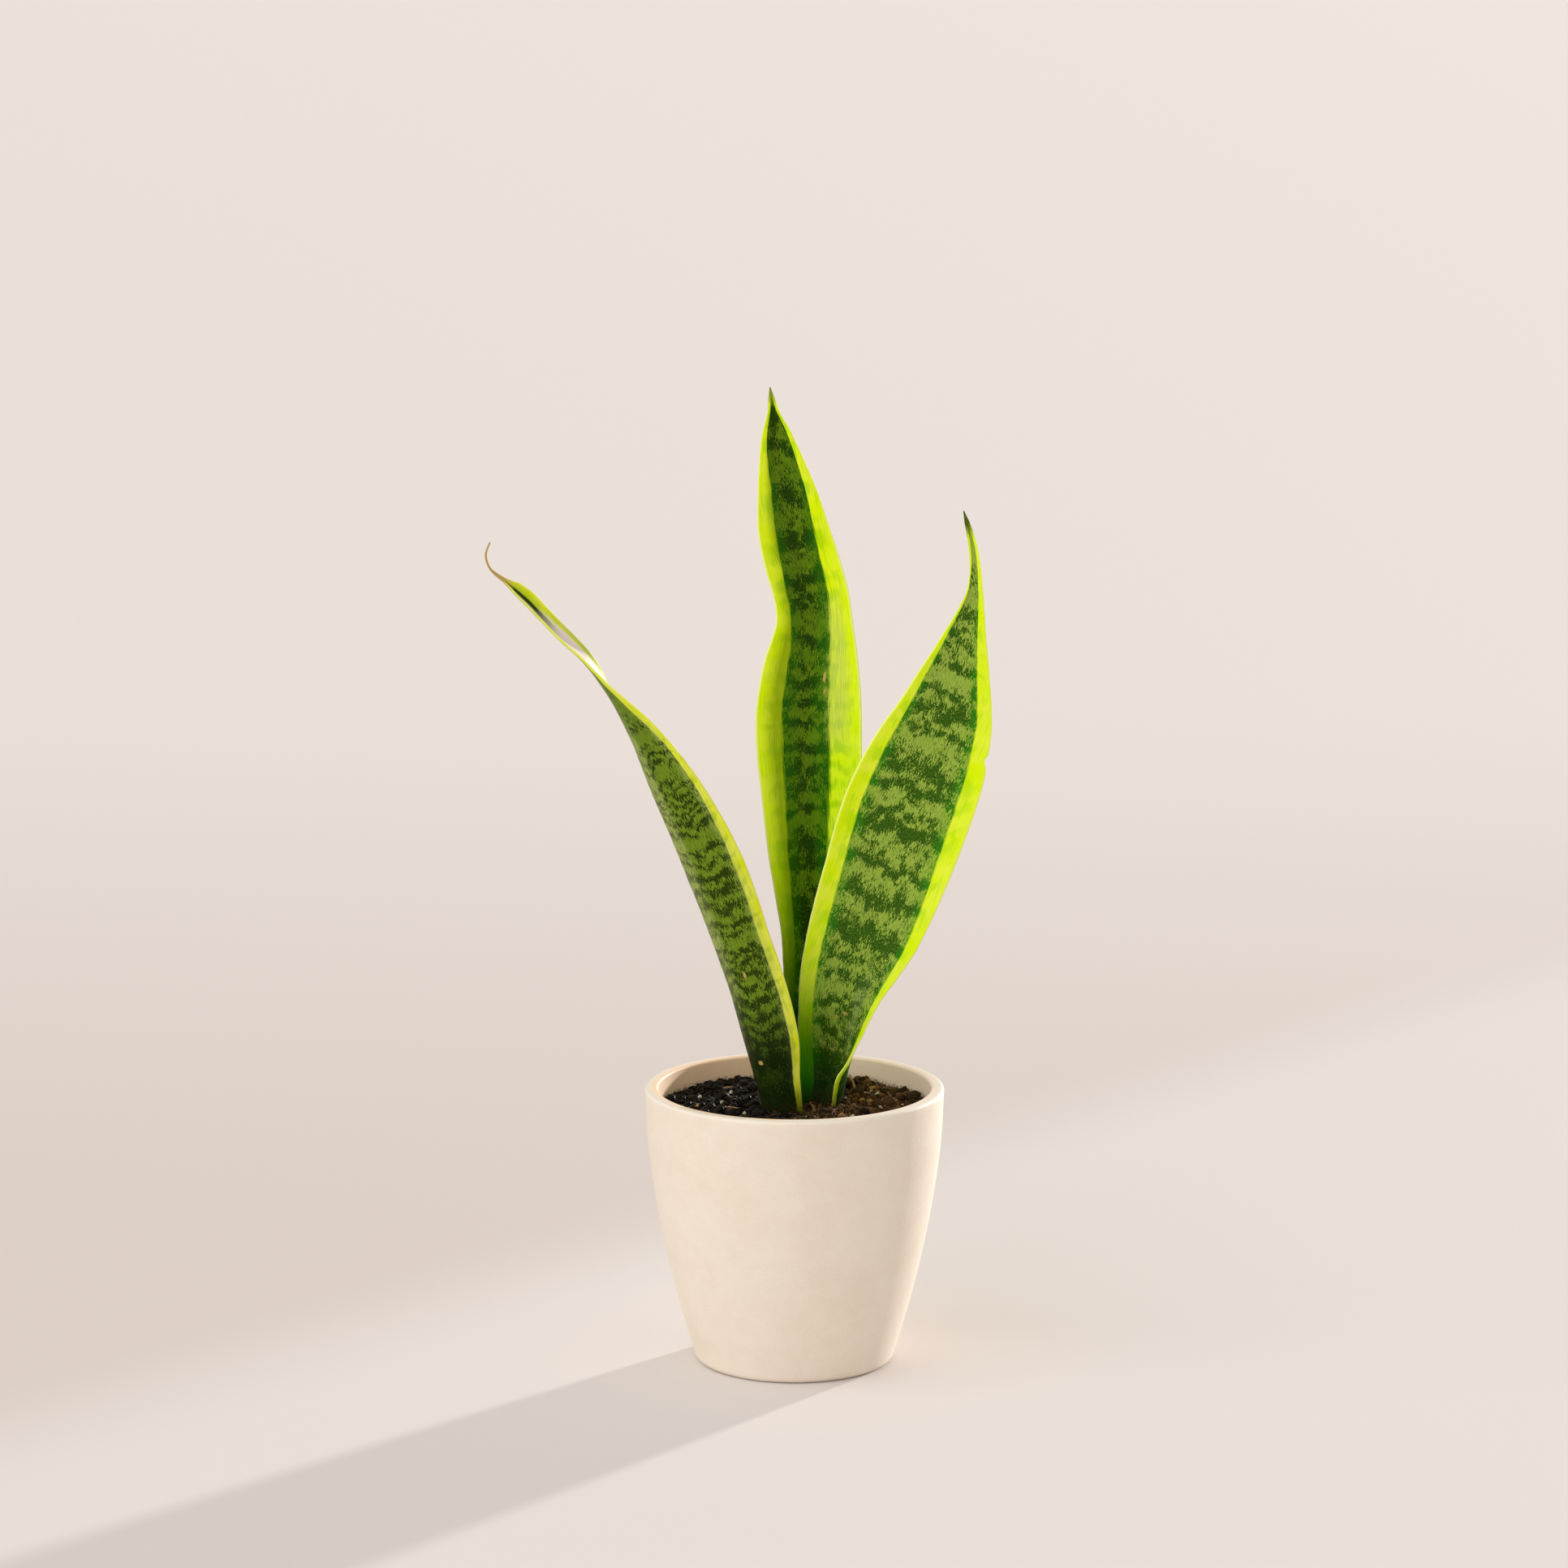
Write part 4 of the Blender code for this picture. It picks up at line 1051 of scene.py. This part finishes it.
def make_leaf(name, colours, foot, green, tip, seed):
    """Metres above the soil: where the dark foot of painted shade and the green foot end, and where the tip
    starts.
    """
    leaf, tree, shader = start_material(name, Specular_IOR_Level=0.06)
    shade = {key: screen_colour(*colour) for key, colour in colours.items()}
    lay = corner_value(tree, "lay", "Vector")
    value = {kind: corner_value(tree, kind) for kind in ("row", "rim", "scar", *PATCH_KINDS)}
    shared = {"Lay": lay, "Row": value["row"], "Rim": value["rim"], "Seed": seed}
    blade_colours = {key.title(): shade[key.replace(" ", "_")] for key in BLADE_COLOURS}
    margin_colours = {key.title(): shade[key] for key in MARGIN_COLOURS}
    blade = use_group(tree, "leaf_blade", {**shared, **blade_colours})
    margin = use_group(tree, "leaf_margin", {**shared, **margin_colours})
    sides = add_node(tree, "SeparateXYZ", {0: lay}).outputs
    above, on_blade = sides["Y"], maths(tree, "SUBTRACT", 1.0, margin["Mask"])

    # Painted shade: the blade darkens inside a patch of it.
    dull = tinted(tree, value["dusk"], 0.20, blade["Color"], (34, 38, 0))
    rim = leaf_rim(tree, margin, above, sides["X"], green, value["olive"], shade)
    colour = mixed(tree, margin["Mask"], dull, rim)
    # Pale patches: painted sheen on the left and right leaves, a paler band on the centre leaf.
    wan = maths(tree, "MULTIPLY", value["wan"], wan_share(tree, blade, margin, on_blade))
    colour = mixed(tree, wan, colour, shade["wan"])
    # Painted shade: the blade darkens towards the leaf's foot.
    low = maths(tree, "MULTIPLY", stepped(tree, above, foot, FOOT_FADE * foot), on_blade)
    colour = mixed(tree, maths(tree, "MULTIPLY", low, 0.86), colour, shade["foot"])
    # Painted shade by the soil: everything darkens in the last two centimetres above it.
    colour = tinted(tree, stepped(tree, above, PAINTED_SOIL_SHADE_TO, 0.0), 0.7, colour, (20, 34, 10))
    drying = stepped(tree, maths(tree, "MULTIPLY_ADD", blade["Fibre"], 0.006, above), tip, tip + DRYING)
    colour = mixed(tree, drying, colour, shade["tip"])
    # Painted reflection: a pale wash on the inner face, broken by the fibres.
    reflection = maths(tree, "MULTIPLY_ADD", blade["Fibre"], 0.3, 0.8)
    reflection = maths(tree, "MULTIPLY", value["papery"], reflection)
    colour = mixed(tree, reflection, colour, screen_colour(232, 218, 216))
    cork = stepped(tree, maths(tree, "MULTIPLY_ADD", blade["Fibre"], 1.2, value["scar"]), 0.9, 1.3)
    colour = mixed(tree, cork, colour, screen_colour(192, 164, 88))

    splash = {"Color": colour, "Vector": own_place(tree)}
    splash |= {"Soil Top": SOIL_LEVEL, "Reach": 0.011, "Amount": 0.45}
    dusty = use_group(tree, "soil_splash", splash)["Color"]
    wax = maths(tree, "MULTIPLY_ADD", blade["Fibre"], 0.16, 0.36)
    wax = maths(tree, "MULTIPLY_ADD", blade["Dark"], -0.05, wax)
    wax = maths(tree, "MULTIPLY_ADD", drying, 0.3, wax)
    relief = maths(tree, "MULTIPLY_ADD", cork, 0.8, blade["Fibre"])
    finish_skin(tree, shader, dusty, wax, relief, strength=0.35, distance=0.00025)
    return leaf


LEFT_COLOURS = {
    "pale": (112, 140, 32), "dark": (27, 45, 0), "pale_beside": (118, 146, 34), "dark_beside": (40, 70, 0),
    "bright": (222, 232, 0), "light": (236, 240, 92), "green": (150, 182, 0), "wan": (166, 180, 100),
    "olive": (150, 166, 30), "green_foot": (120, 140, 10), "foot": (14, 28, 8), "tip": (196, 164, 96),
}
RIGHT_COLOURS = {
    "pale": (157, 185, 71), "dark": (30, 78, 0), "pale_beside": (146, 182, 56), "dark_beside": (14, 120, 0),
    "bright": (222, 250, 0), "light": (236, 250, 70), "green": (170, 226, 0), "wan": (128, 152, 92),
    "olive": (170, 190, 30), "green_foot": (44, 152, 0), "foot": (10, 54, 2), "tip": (80, 100, 22),
}
CENTRE_COLOURS = {
    "pale": (97, 130, 14), "dark": (14, 50, 0), "pale_beside": (88, 132, 6), "dark_beside": (22, 90, 0),
    "bright": (222, 248, 0), "light": (234, 250, 56), "green": (140, 204, 0), "wan": (192, 208, 96),
    "olive": (114, 136, 0), "green_foot": (22, 92, 0), "foot": (8, 38, 2), "tip": (136, 150, 48),
}

NICK = (0.186, 0.0016, 0.0022, 1)  # height, depth and width in metres, on the right margin
LEAVES = (
    ("left_leaf", "leaf_left", LEAF_LEFT, (), (LEFT_COLOURS, 0.068, 0.012, 0.284)),
    ("right_leaf", "leaf_right", LEAF_RIGHT, (NICK,), (RIGHT_COLOURS, 0.030, 0.085, 0.2860)),
    ("centre_leaf", "leaf_centre", LEAF_CENTRE, (), (CENTRE_COLOURS, 0.060, 0.150, 0.3345)),
)
for piece_name, node_name, leaf, nicks, look in LEAVES:
    corners, faces, values = skin_leaf(node_name, leaf, nicks)
    finish = make_leaf(piece_name + "_skin", *look, leaf["seed"])
    add_piece(piece_name, corners, faces, finish, "banded_leaf", [node_name], values)

# %% [markdown]
# ## The soil's bed
# Potting soil is fine dark peat that has settled, with a lumpy top. The packed soil gives the lie of
# its top: low here, heaped there. We lay a fine disc over it, take each height from the nearest
# packed corners, and roughen it at three sizes, from finger-wide lumps to single grains. Below, the
# bed goes on down the inside of the pot, so it is a whole body and not a lid.

# %% Soil bed
SOIL_RINGS = 92
SOIL_TURNS = 300
SOIL_GAP = 0.0003  # between the soil and the wall
SOIL_LIFT = 0.0004  # between the soil and the pot's floor
SIDE_FROM = 0.006  # how far below the top the soil's side starts
SIDE_RINGS = 16
NEAREST = 8  # packed corners that share in a height
SOFTENING = 0.0015  # keeps the nearest one from taking over
ROUGHNESS = ((0.0019, 0.011, 1.0), (0.0013, 0.0038, 5.0), (0.00055, 0.0014, 9.0))  # height, size, seed

soil_corners, _ = welded("soil")
soil_top_corners = soil_corners[soil_corners[:, 2] > SOIL_LEVEL - 0.008]
inside_outline = fine_outline[top_ring:][::-1]


def wall_radius(height):
    return float(np.interp(height, inside_outline[:, 1], inside_outline[:, 0])) - SOIL_GAP


def soil_height(x, y):
    """The height of the soil's top, before it is roughened."""
    away = np.hypot(soil_top_corners[:, 0] - x, soil_top_corners[:, 1] - y)
    near = np.argsort(away)[:NEAREST]
    weights = 1 / (away[near] + SOFTENING) ** 2
    return float((soil_top_corners[near, 2] * weights).sum() / weights.sum())


def soil_roughness(x, y):
    return sum(high * noise.noise(Vector((x / size, y / size, seed))) for high, size, seed in ROUGHNESS)


def rough_height(x, y):
    return soil_height(x, y) + soil_roughness(x, y)


def circle(radius):
    angles = [2 * math.pi * turn / SOIL_TURNS for turn in range(SOIL_TURNS)]
    return [(radius * math.cos(angle), radius * math.sin(angle)) for angle in angles]


def soil_bed():
    edge = wall_radius(SOIL_LEVEL)
    corners = [(0.0, 0.0, soil_height(0.0, 0.0))]
    for ring in range(1, SOIL_RINGS + 1):
        corners += [(x, y, rough_height(x, y)) for x, y in circle(edge * ring / SOIL_RINGS)]
    for height in np.linspace(SOIL_LEVEL - SIDE_FROM, soil_low.z + SOIL_LIFT, SIDE_RINGS):
        corners += [(x, y, height) for x, y in circle(wall_radius(height))]
    corners.append((0.0, 0.0, soil_low.z + SOIL_LIFT))
    return corners, faces_round(SOIL_RINGS + SIDE_RINGS, SOIL_TURNS)


def make_peat():
    peat, tree, shader = start_material("peat", Roughness=0.95, Specular_IOR_Level=0.08)
    place = own_place(tree)
    lump = mottle(tree, place, 0.0050, 4.0)
    grain = mottle(tree, place, 0.0011, 4.0, 4.0)
    fleck = mottle(tree, place, 0.0008, 2.0, 8.0)
    colour = mixed(tree, lump, screen_colour(20, 14, 9), screen_colour(42, 29, 20))
    colour = tinted(tree, grain, 0.5, colour, (62, 44, 29))
    colour = mixed(tree, stepped(tree, fleck, 0.94, 1.0), colour, screen_colour(178, 142, 92))
    damp = use_group(tree, "damp", {"Color": colour, "Vector": place})
    relief = maths(tree, "MULTIPLY_ADD", grain, 0.8, fleck)
    finish_skin(tree, shader, damp["Color"], None, relief, strength=0.7, distance=0.0005)
    return peat


add_piece("soil_bed", *soil_bed(), make_peat(), "potting_soil", ["soil"])

# %% [markdown]
# ## Crumbs on the soil
# The eye reads soil by its crumbs: thousands of lumps, no two alike, half sunk in the bed. A particle
# system could scatter copies, but then every copy is the same and none becomes real mesh. We build
# each crumb as a small ball of triangles, squash and dent it, and set it into the bed. All of one
# kind are one mesh, and each crumb keeps its own tone for the material.

# %% Crumbs
CRUMB_REACH = wall_radius(SOIL_LEVEL) - 0.0012
DENTS, DENT_WAVES = 0.38, 1.3
SUNK = (-0.25, 0.45)  # how high a crumb's middle lies over the bed, in crumb sizes


def ball(detail):
    shape = bmesh.new()
    bmesh.ops.create_icosphere(shape, subdivisions=detail, radius=1.0)
    corners = np.array([corner.co[:] for corner in shape.verts])
    faces = np.array([[corner.index for corner in face.verts] for face in shape.faces])
    shape.free()
    return corners, faces


def dented(corners, index):
    """How far out each of a ball's corners lies once it is dented, about 1."""
    start = Vector((7.0 * index, 0, 0))
    return np.array([1 + DENTS * noise.noise(Vector(corner) * DENT_WAVES + start) for corner in corners])


def scatter(draw, count, detail, sizes, power, stretch, lightest):
    """Dented balls on the soil. A high power makes most of them small. Gives corners, faces and tones."""
    corners, faces = ball(detail)
    all_corners, all_faces, tones = [], [], []
    for index in range(count):
        radius = CRUMB_REACH * math.sqrt(draw.random())
        angle = draw.uniform(0, 2 * math.pi)
        x, y = radius * math.cos(angle), radius * math.sin(angle)
        size = sizes[0] + (sizes[1] - sizes[0]) * draw.random() ** power
        turned_by = draw.uniform(0, 6.28)
        axis = Vector([draw.gauss(0, 1) for _ in range(3)])
        turn = np.array(Matrix.Rotation(turned_by, 3, axis))
        flattened = [1.0, draw.uniform(*stretch), draw.uniform(*stretch)]
        shape = corners * dented(corners, index)[:, None] * flattened
        height = rough_height(x, y) + size * draw.uniform(*SUNK)
        all_corners.append(shape @ turn.T * size + (x, y, height))
        all_faces.append(faces + index * len(corners))
        tones.append(np.full(len(corners), lightest * draw.random()))
    return np.concatenate(all_corners), np.concatenate(all_faces), {"tone": np.concatenate(tones)}


def make_crumb():
    crumb, tree, shader = start_material("crumb", Specular_IOR_Level=0.08)
    place = own_place(tree)
    tone = corner_value(tree, "tone")
    grain = mottle(tree, place, 0.0009, 4.0, 2.0)
    colour = mixed(tree, tone, screen_colour(24, 15, 6), screen_colour(120, 88, 44))
    colour = mixed(tree, stepped(tree, tone, 0.80, 0.90), colour, screen_colour(176, 134, 64))
    # The palest crumbs are pale specks, partly perlite dust and partly painted glints.
    colour = mixed(tree, stepped(tree, tone, 0.965, 0.975), colour, screen_colour(226, 212, 184))
    colour = tinted(tree, grain, 0.45, colour, (30, 20, 13))
    damp = use_group(tree, "damp", {"Color": colour, "Vector": place})
    dry = maths(tree, "MULTIPLY_ADD", grain, 0.15, 0.72)
    sheen = maths(tree, "MULTIPLY_ADD", damp["Mask"], -0.42, dry)
    finish_skin(tree, shader, damp["Color"], sheen, grain, strength=0.5, distance=0.0003)
    return crumb


crumb_finish = make_crumb()
crumb_draw = random.Random(5)
CRUMB_KINDS = (  # how many, detail, sizes, power, stretch, lightest tone
    ("soil_crumbs", 1900, 2, (0.0007, 0.0024), 3.2, (0.55, 1.0), 0.92),
    ("soil_grit", 8500, 1, (0.0003, 0.0009), 1.5, (0.45, 1.0), 1.0),
    ("soil_clods", 90, 3, (0.0020, 0.0040), 1.8, (0.50, 0.9), 0.35),
)
for kind, *look in CRUMB_KINDS:
    corners, faces, values = scatter(crumb_draw, *look)
    add_piece(kind, corners, faces, crumb_finish, "potting_soil", values=values)

# %% [markdown]
# ## Fibres and slivers in the soil
# Between the crumbs lie coconut fibres, thin and curled, and flat slivers of bark. A curve object
# would do for a fibre, yet a hundred of them would be a hundred pieces. Here each is a thin strip of
# rings swept along a short bent path, and all of them are one mesh.

# %% Fibres and slivers
STRAND_STEPS = 6  # along a strand
STRAND_LIFT = 0.0006  # how high it lies over the bed
STRAND_SIDES = 5


def strand(path, widths, thickness):
    """Rings round a path, closed at both ends."""
    sides = STRAND_SIDES
    corners, faces = [], []
    for k, point in enumerate(path):
        ahead = Vector(path[min(k + 1, len(path) - 1)]) - Vector(path[max(k - 1, 0)])
        across = ahead.cross(Vector((0, 0, 1))).normalized()
        up = across.cross(ahead).normalized()
        for side in range(sides):
            angle = 2 * math.pi * side / sides
            offset = across * (widths[k] * math.cos(angle)) + up * (thickness * math.sin(angle))
            corners.append(tuple(Vector(point) + offset))
    for k in range(len(path) - 1):
        for side in range(sides):
            after = (side + 1) % sides
            low, high = k * sides, (k + 1) * sides
            faces.append((low + side, low + after, high + after, high + side))
    faces.append(tuple(range(sides)))
    faces.append(tuple((len(path) - 1) * sides + side for side in range(sides)))
    return corners, faces


def litter(draw, count, lengths, width, thickness, bend):
    """Strands lying on the soil, each bent its own way."""
    corners, faces, tones = [], [], []
    for _ in range(count):
        radius = (CRUMB_REACH - 0.003) * math.sqrt(draw.random())
        angle, heading = draw.uniform(0, 6.28), draw.uniform(0, 6.28)
        x, y = radius * math.cos(angle), radius * math.sin(angle)
        length, curl = draw.uniform(*lengths), draw.uniform(-bend, bend)
        arch = draw.uniform(0.0, 0.0012)
        path = []
        for k in range(STRAND_STEPS + 1):
            lift = STRAND_LIFT + arch * math.sin(math.pi * k / STRAND_STEPS)
            path.append((x, y, rough_height(x, y) + lift))
            heading += curl / STRAND_STEPS
            x += length / STRAND_STEPS * math.cos(heading)
            y += length / STRAND_STEPS * math.sin(heading)
        if max(math.hypot(point[0], point[1]) for point in path) > CRUMB_REACH:
            continue
        ends = (0, STRAND_STEPS)
        widths = [width * draw.uniform(0.7, 1.3) * (0.4 if k in ends else 1.0) for k in range(len(path))]
        shape, sides = strand(path, widths, thickness)
        faces += [tuple(corner + len(corners) for corner in side) for side in sides]
        corners += shape
        tones += [draw.random()] * len(shape)
    return corners, faces, {"tone": tones}


def make_fibre(name, dull, bright, roughness):
    fibre, tree, shader = start_material(name, Roughness=roughness)
    place = own_place(tree)
    tone = corner_value(tree, "tone")
    grain = mottle(tree, place, 0.0007)
    colour = mixed(tree, tone, screen_colour(*dull), screen_colour(*bright))
    colour = tinted(tree, grain, 0.4, colour, (60, 40, 26))
    damp = use_group(tree, "damp", {"Color": colour, "Vector": place})
    finish_skin(tree, shader, damp["Color"], None, grain, strength=0.4, distance=0.0002)
    return fibre


litter_draw = random.Random(8)
LITTER_KINDS = (  # how many, lengths, width, thickness, bend, and the dull and bright colours and roughness
    ("soil_fibres", 120, (0.006, 0.018), 0.00012, 0.00011, 2.4, ((64, 44, 26), (160, 122, 74), 0.7)),
    ("soil_slivers", 70, (0.003, 0.008), 0.00060, 0.00025, 0.5, ((54, 36, 23), (168, 126, 76), 0.8)),
)
for kind, *shape, look in LITTER_KINDS:
    corners, faces, values = litter(litter_draw, *shape)
    add_piece(kind, corners, faces, make_fibre(kind + "_skin", *look), "bark", values=values)

# %% [markdown]
# ## Bark chips and perlite
# The biggest things on the soil are chips of bark and white popped perlite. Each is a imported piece
# with its own place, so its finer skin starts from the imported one: cut every face in smaller ones,
# then move the new corners in and out. Bark splits in layers, so its relief is stretched along the
# chip. Perlite is a glass foam, so its relief is round pits.

# %% Bark and perlite
def refined(name, size, cuts, rough, grain, deep, layered):
    """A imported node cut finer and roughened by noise. Layered noise is stretched along the longest side."""
    corners, faces = welded(name)
    corners = corners.mean(axis=0) + size * (corners - corners.mean(axis=0))
    shape = bmesh.new()
    made = [shape.verts.new(corner) for corner in corners]
    for face in faces:
        shape.faces.new([made[corner] for corner in face])
    bmesh.ops.subdivide_edges(shape, edges=shape.edges[:], cuts=cuts, use_grid_fill=True, smooth=0.0)
    every_way = {"use_axis_x": True, "use_axis_y": True, "use_axis_z": True}
    bmesh.ops.smooth_vert(shape, verts=shape.verts[:], factor=0.5, **every_way)
    bmesh.ops.recalc_face_normals(shape, faces=shape.faces)
    shape.normal_update()
    middle = corners.mean(axis=0)
    axes = np.linalg.svd(corners - middle, full_matrices=False)[2]
    seed = float(abs(middle[0]) * 9000)
    moved = []
    for corner in shape.verts:
        place = axes @ (np.array(corner.co) - middle) / grain
        if layered:
            place = place * (0.3, 1.0, 1.6)
        value = noise.noise(Vector(place) + Vector((seed, 0, 0))) + deep * noise.noise(Vector(place) * 2.7)
        moved.append(tuple(corner.co + corner.normal * (rough * value)))
    found = [tuple(corner.index for corner in face.verts) for face in shape.faces]
    shape.free()
    along = [(axes @ (np.array(corner) - middle)).tolist() for corner in moved]
    return moved, found, {"lay": np.array(along), "tone": np.full(len(moved), seed % 1.0)}


def make_bark():
    bark, tree, shader = start_material("bark")
    lay = corner_value(tree, "lay", "Vector")
    tone = corner_value(tree, "tone")
    split = fibres(tree, lay, 0.004, 0.0006, depth=0.0008)  # wide along the chip, thin across it
    cloud = mottle(tree, lay, 0.0026, seed=3.0)
    colour = mixed(tree, tone, screen_colour(150, 112, 66), screen_colour(196, 156, 98))
    colour = tinted(tree, cloud, 0.5, colour, (104, 70, 42))
    colour = mixed(tree, stepped(tree, split, 0.55, 0.35), colour, screen_colour(70, 46, 30))
    sheen = maths(tree, "MULTIPLY_ADD", split, 0.2, 0.7)
    finish_skin(tree, shader, colour, sheen, split, strength=0.6, distance=0.0004)
    return bark


def make_perlite():
    perlite, tree, shader = start_material("perlite")
    lay = corner_value(tree, "lay", "Vector")
    pit = add_node(tree, "TexVoronoi", {"Vector": lay, "Scale": 1800.0}).outputs["Distance"]
    cloud = mottle(tree, lay, 0.0016, seed=6.0)
    colour = mixed(tree, cloud, screen_colour(208, 198, 178), screen_colour(164, 148, 122))
    colour = mixed(tree, stepped(tree, pit, 0.25, 0.05), colour, screen_colour(150, 132, 108))
    sheen = maths(tree, "MULTIPLY_ADD", cloud, 0.2, 0.65)
    finish_skin(tree, shader, colour, sheen, pit, strength=0.5, distance=0.0003)
    return perlite


NUGGETS = (  # the last values: size, cuts, roughness, grain, how deep the fine grain is, layered or not
    ("bark_chip_", "chip_", "bark", make_bark(), (1.0, 4, 0.00050, 0.0022, 0.5, True)),
    ("perlite_", "popped_grain_", "perlite", make_perlite(), (0.72, 4, 0.00055, 0.0011, 0.6, False)),
)
for node_start, piece_start, slot, finish, shape_values in NUGGETS:
    for node_name in sorted(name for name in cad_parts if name.startswith(node_start)):
        corners, faces, values = refined(node_name, *shape_values)
        piece_name = piece_start + node_name.removeprefix(node_start)
        add_piece(piece_name, corners, faces, finish, slot, [node_name], values)

# %% [markdown]
# ## Roots and rhizome
# Under the soil the leaves grow from one thick rhizome, with pale roots that feel their way to the
# wall. The soil hides them, yet they are part of the plant, and a cut-open view would show them. The
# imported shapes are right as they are, so they stay: a weld and a subdivision round them, and each
# gets a skin of its own, an orange scaly one and a pale hairy one.

# %% Roots and rhizome
def make_underground(name, light, dark, across, along):
    skin, tree, shader = start_material(name)
    place = own_place(tree)
    scale = fibres(tree, place, across, along, depth=across)
    cloud = mottle(tree, place, 0.006, seed=2.0)
    colour = mixed(tree, cloud, screen_colour(*light), screen_colour(*dark))
    colour = mixed(tree, stepped(tree, scale, 0.6, 0.4), colour, screen_colour(84, 54, 32))
    sheen = maths(tree, "MULTIPLY_ADD", scale, 0.25, 0.5)
    finish_skin(tree, shader, colour, sheen, scale, strength=0.5, distance=0.0004)
    return skin


rhizome_skin = make_underground("rhizome_skin", (206, 140, 70), (176, 104, 48), 0.0030, 0.0009)
root_skin = make_underground("root_skin", (222, 196, 148), (186, 148, 98), 0.0006, 0.0006)
for node_name in ["rhizome"] + sorted(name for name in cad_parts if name.startswith("root_")):
    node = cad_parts[node_name]
    node.modifiers.new("weld", "WELD").merge_threshold = WELD * 10
    rounding = node.modifiers.new("rounding", "SUBSURF")
    rounding.levels = rounding.render_levels = 2
    node.data.materials.clear()
    node.data.materials.append(rhizome_skin if node_name == "rhizome" else root_skin)
    print(node_name, "keeps its packed shape")

# %% [markdown]
# ## Dried sheaths
# Each shoot comes up inside a few small scales, which dry to brown paper round the leaf's foot. Two
# of them still stand here. Each is a thin curled sheet with a torn tip, so we bend a grid of corners
# round the shoot, give it two faces with a real thickness between them, and fray its end.

# %% Dried sheaths
SHEATH_ROWS, SHEATH_COLUMNS = 14, 9
SHEATH_THICKNESS = 0.00016  # half of it, from the middle to a face
FRAY = 0.0010
CRINKLE, CRINKLES = 0.0004, 260  # metres deep, and waves in a metre


def sheath(foot, top, width, curl, seed):
    """A curled scale from its foot to its torn tip."""
    foot, top = Vector(foot), Vector(top)
    up = (top - foot).normalized()
    side = up.cross(Vector((0, -1, 0))).normalized()
    out = side.cross(up)
    front, back = [], []
    for row in range(SHEATH_ROWS):
        share = row / (SHEATH_ROWS - 1)
        half = width * (1 - share**2.2) ** 0.6 / 2 + 0.00012
        for column in range(SHEATH_COLUMNS):
            u = 2 * column / (SHEATH_COLUMNS - 1) - 1
            fray = FRAY * noise.noise(Vector((u * 2.2, share * 3, seed))) * share
            place = foot.lerp(top, share) + side * (half * math.sin(curl * u) / curl) + up * fray
            bulge = half * (math.cos(curl * u) - 1) / curl
            place += out * (bulge + CRINKLE * noise.noise(place * CRINKLES))
            front.append(tuple(place + out * SHEATH_THICKNESS))
            back.append(tuple(place - out * SHEATH_THICKNESS))
    corners = front + back
    return corners, two_faces(SHEATH_ROWS, SHEATH_COLUMNS), {"tone": [0.7] * len(corners)}


def two_faces(rows, columns):
    """Faces of a sheet with a front, a back that comes after it, and an edge all round."""
    faces, count = [], rows * columns
    for row in range(rows - 1):
        for column in range(columns - 1):
            first = row * columns + column
            quad = (first, first + 1, first + columns + 1, first + columns)
            faces.append(quad)
            faces.append(tuple(corner + count for corner in reversed(quad)))
    edge = list(range(columns))
    edge += [row * columns + columns - 1 for row in range(1, rows)]
    edge += list(range(count - 2, (rows - 1) * columns - 1, -1))
    edge += [row * columns for row in range(rows - 2, 0, -1)]
    for a, b in zip(edge, edge[1:] + edge[:1]):
        faces.append((a, b, b + count, a + count))
    return faces


dry_skin = make_fibre("dry_sheath", (150, 108, 62), (196, 154, 100), 0.75)
SHEATHS = (  # foot, top, width, curl, seed
    ("sheath_right", (0.0290, 0.0315, 0.1205), (0.0262, 0.0330, 0.1285), 0.0022, 1.3, 3.0),
    ("sheath_left", (-0.0152, -0.0028, 0.1205), (-0.0172, 0.0004, 0.1290), 0.0020, 1.2, 7.0),
)
for piece_name, *shape in SHEATHS:
    corners, faces, values = sheath(*shape)
    add_piece(piece_name, corners, faces, dry_skin, "rhizome_skin", values=values)

# %% [markdown]
# ## The imported box
# Last, we print the imported box in millimetres. A finish must not change the size of the plant.

# %% The imported box
print("packed box in mm:", [round(1000 * (b - a), 1) for a, b in zip(cad_low, cad_high)])
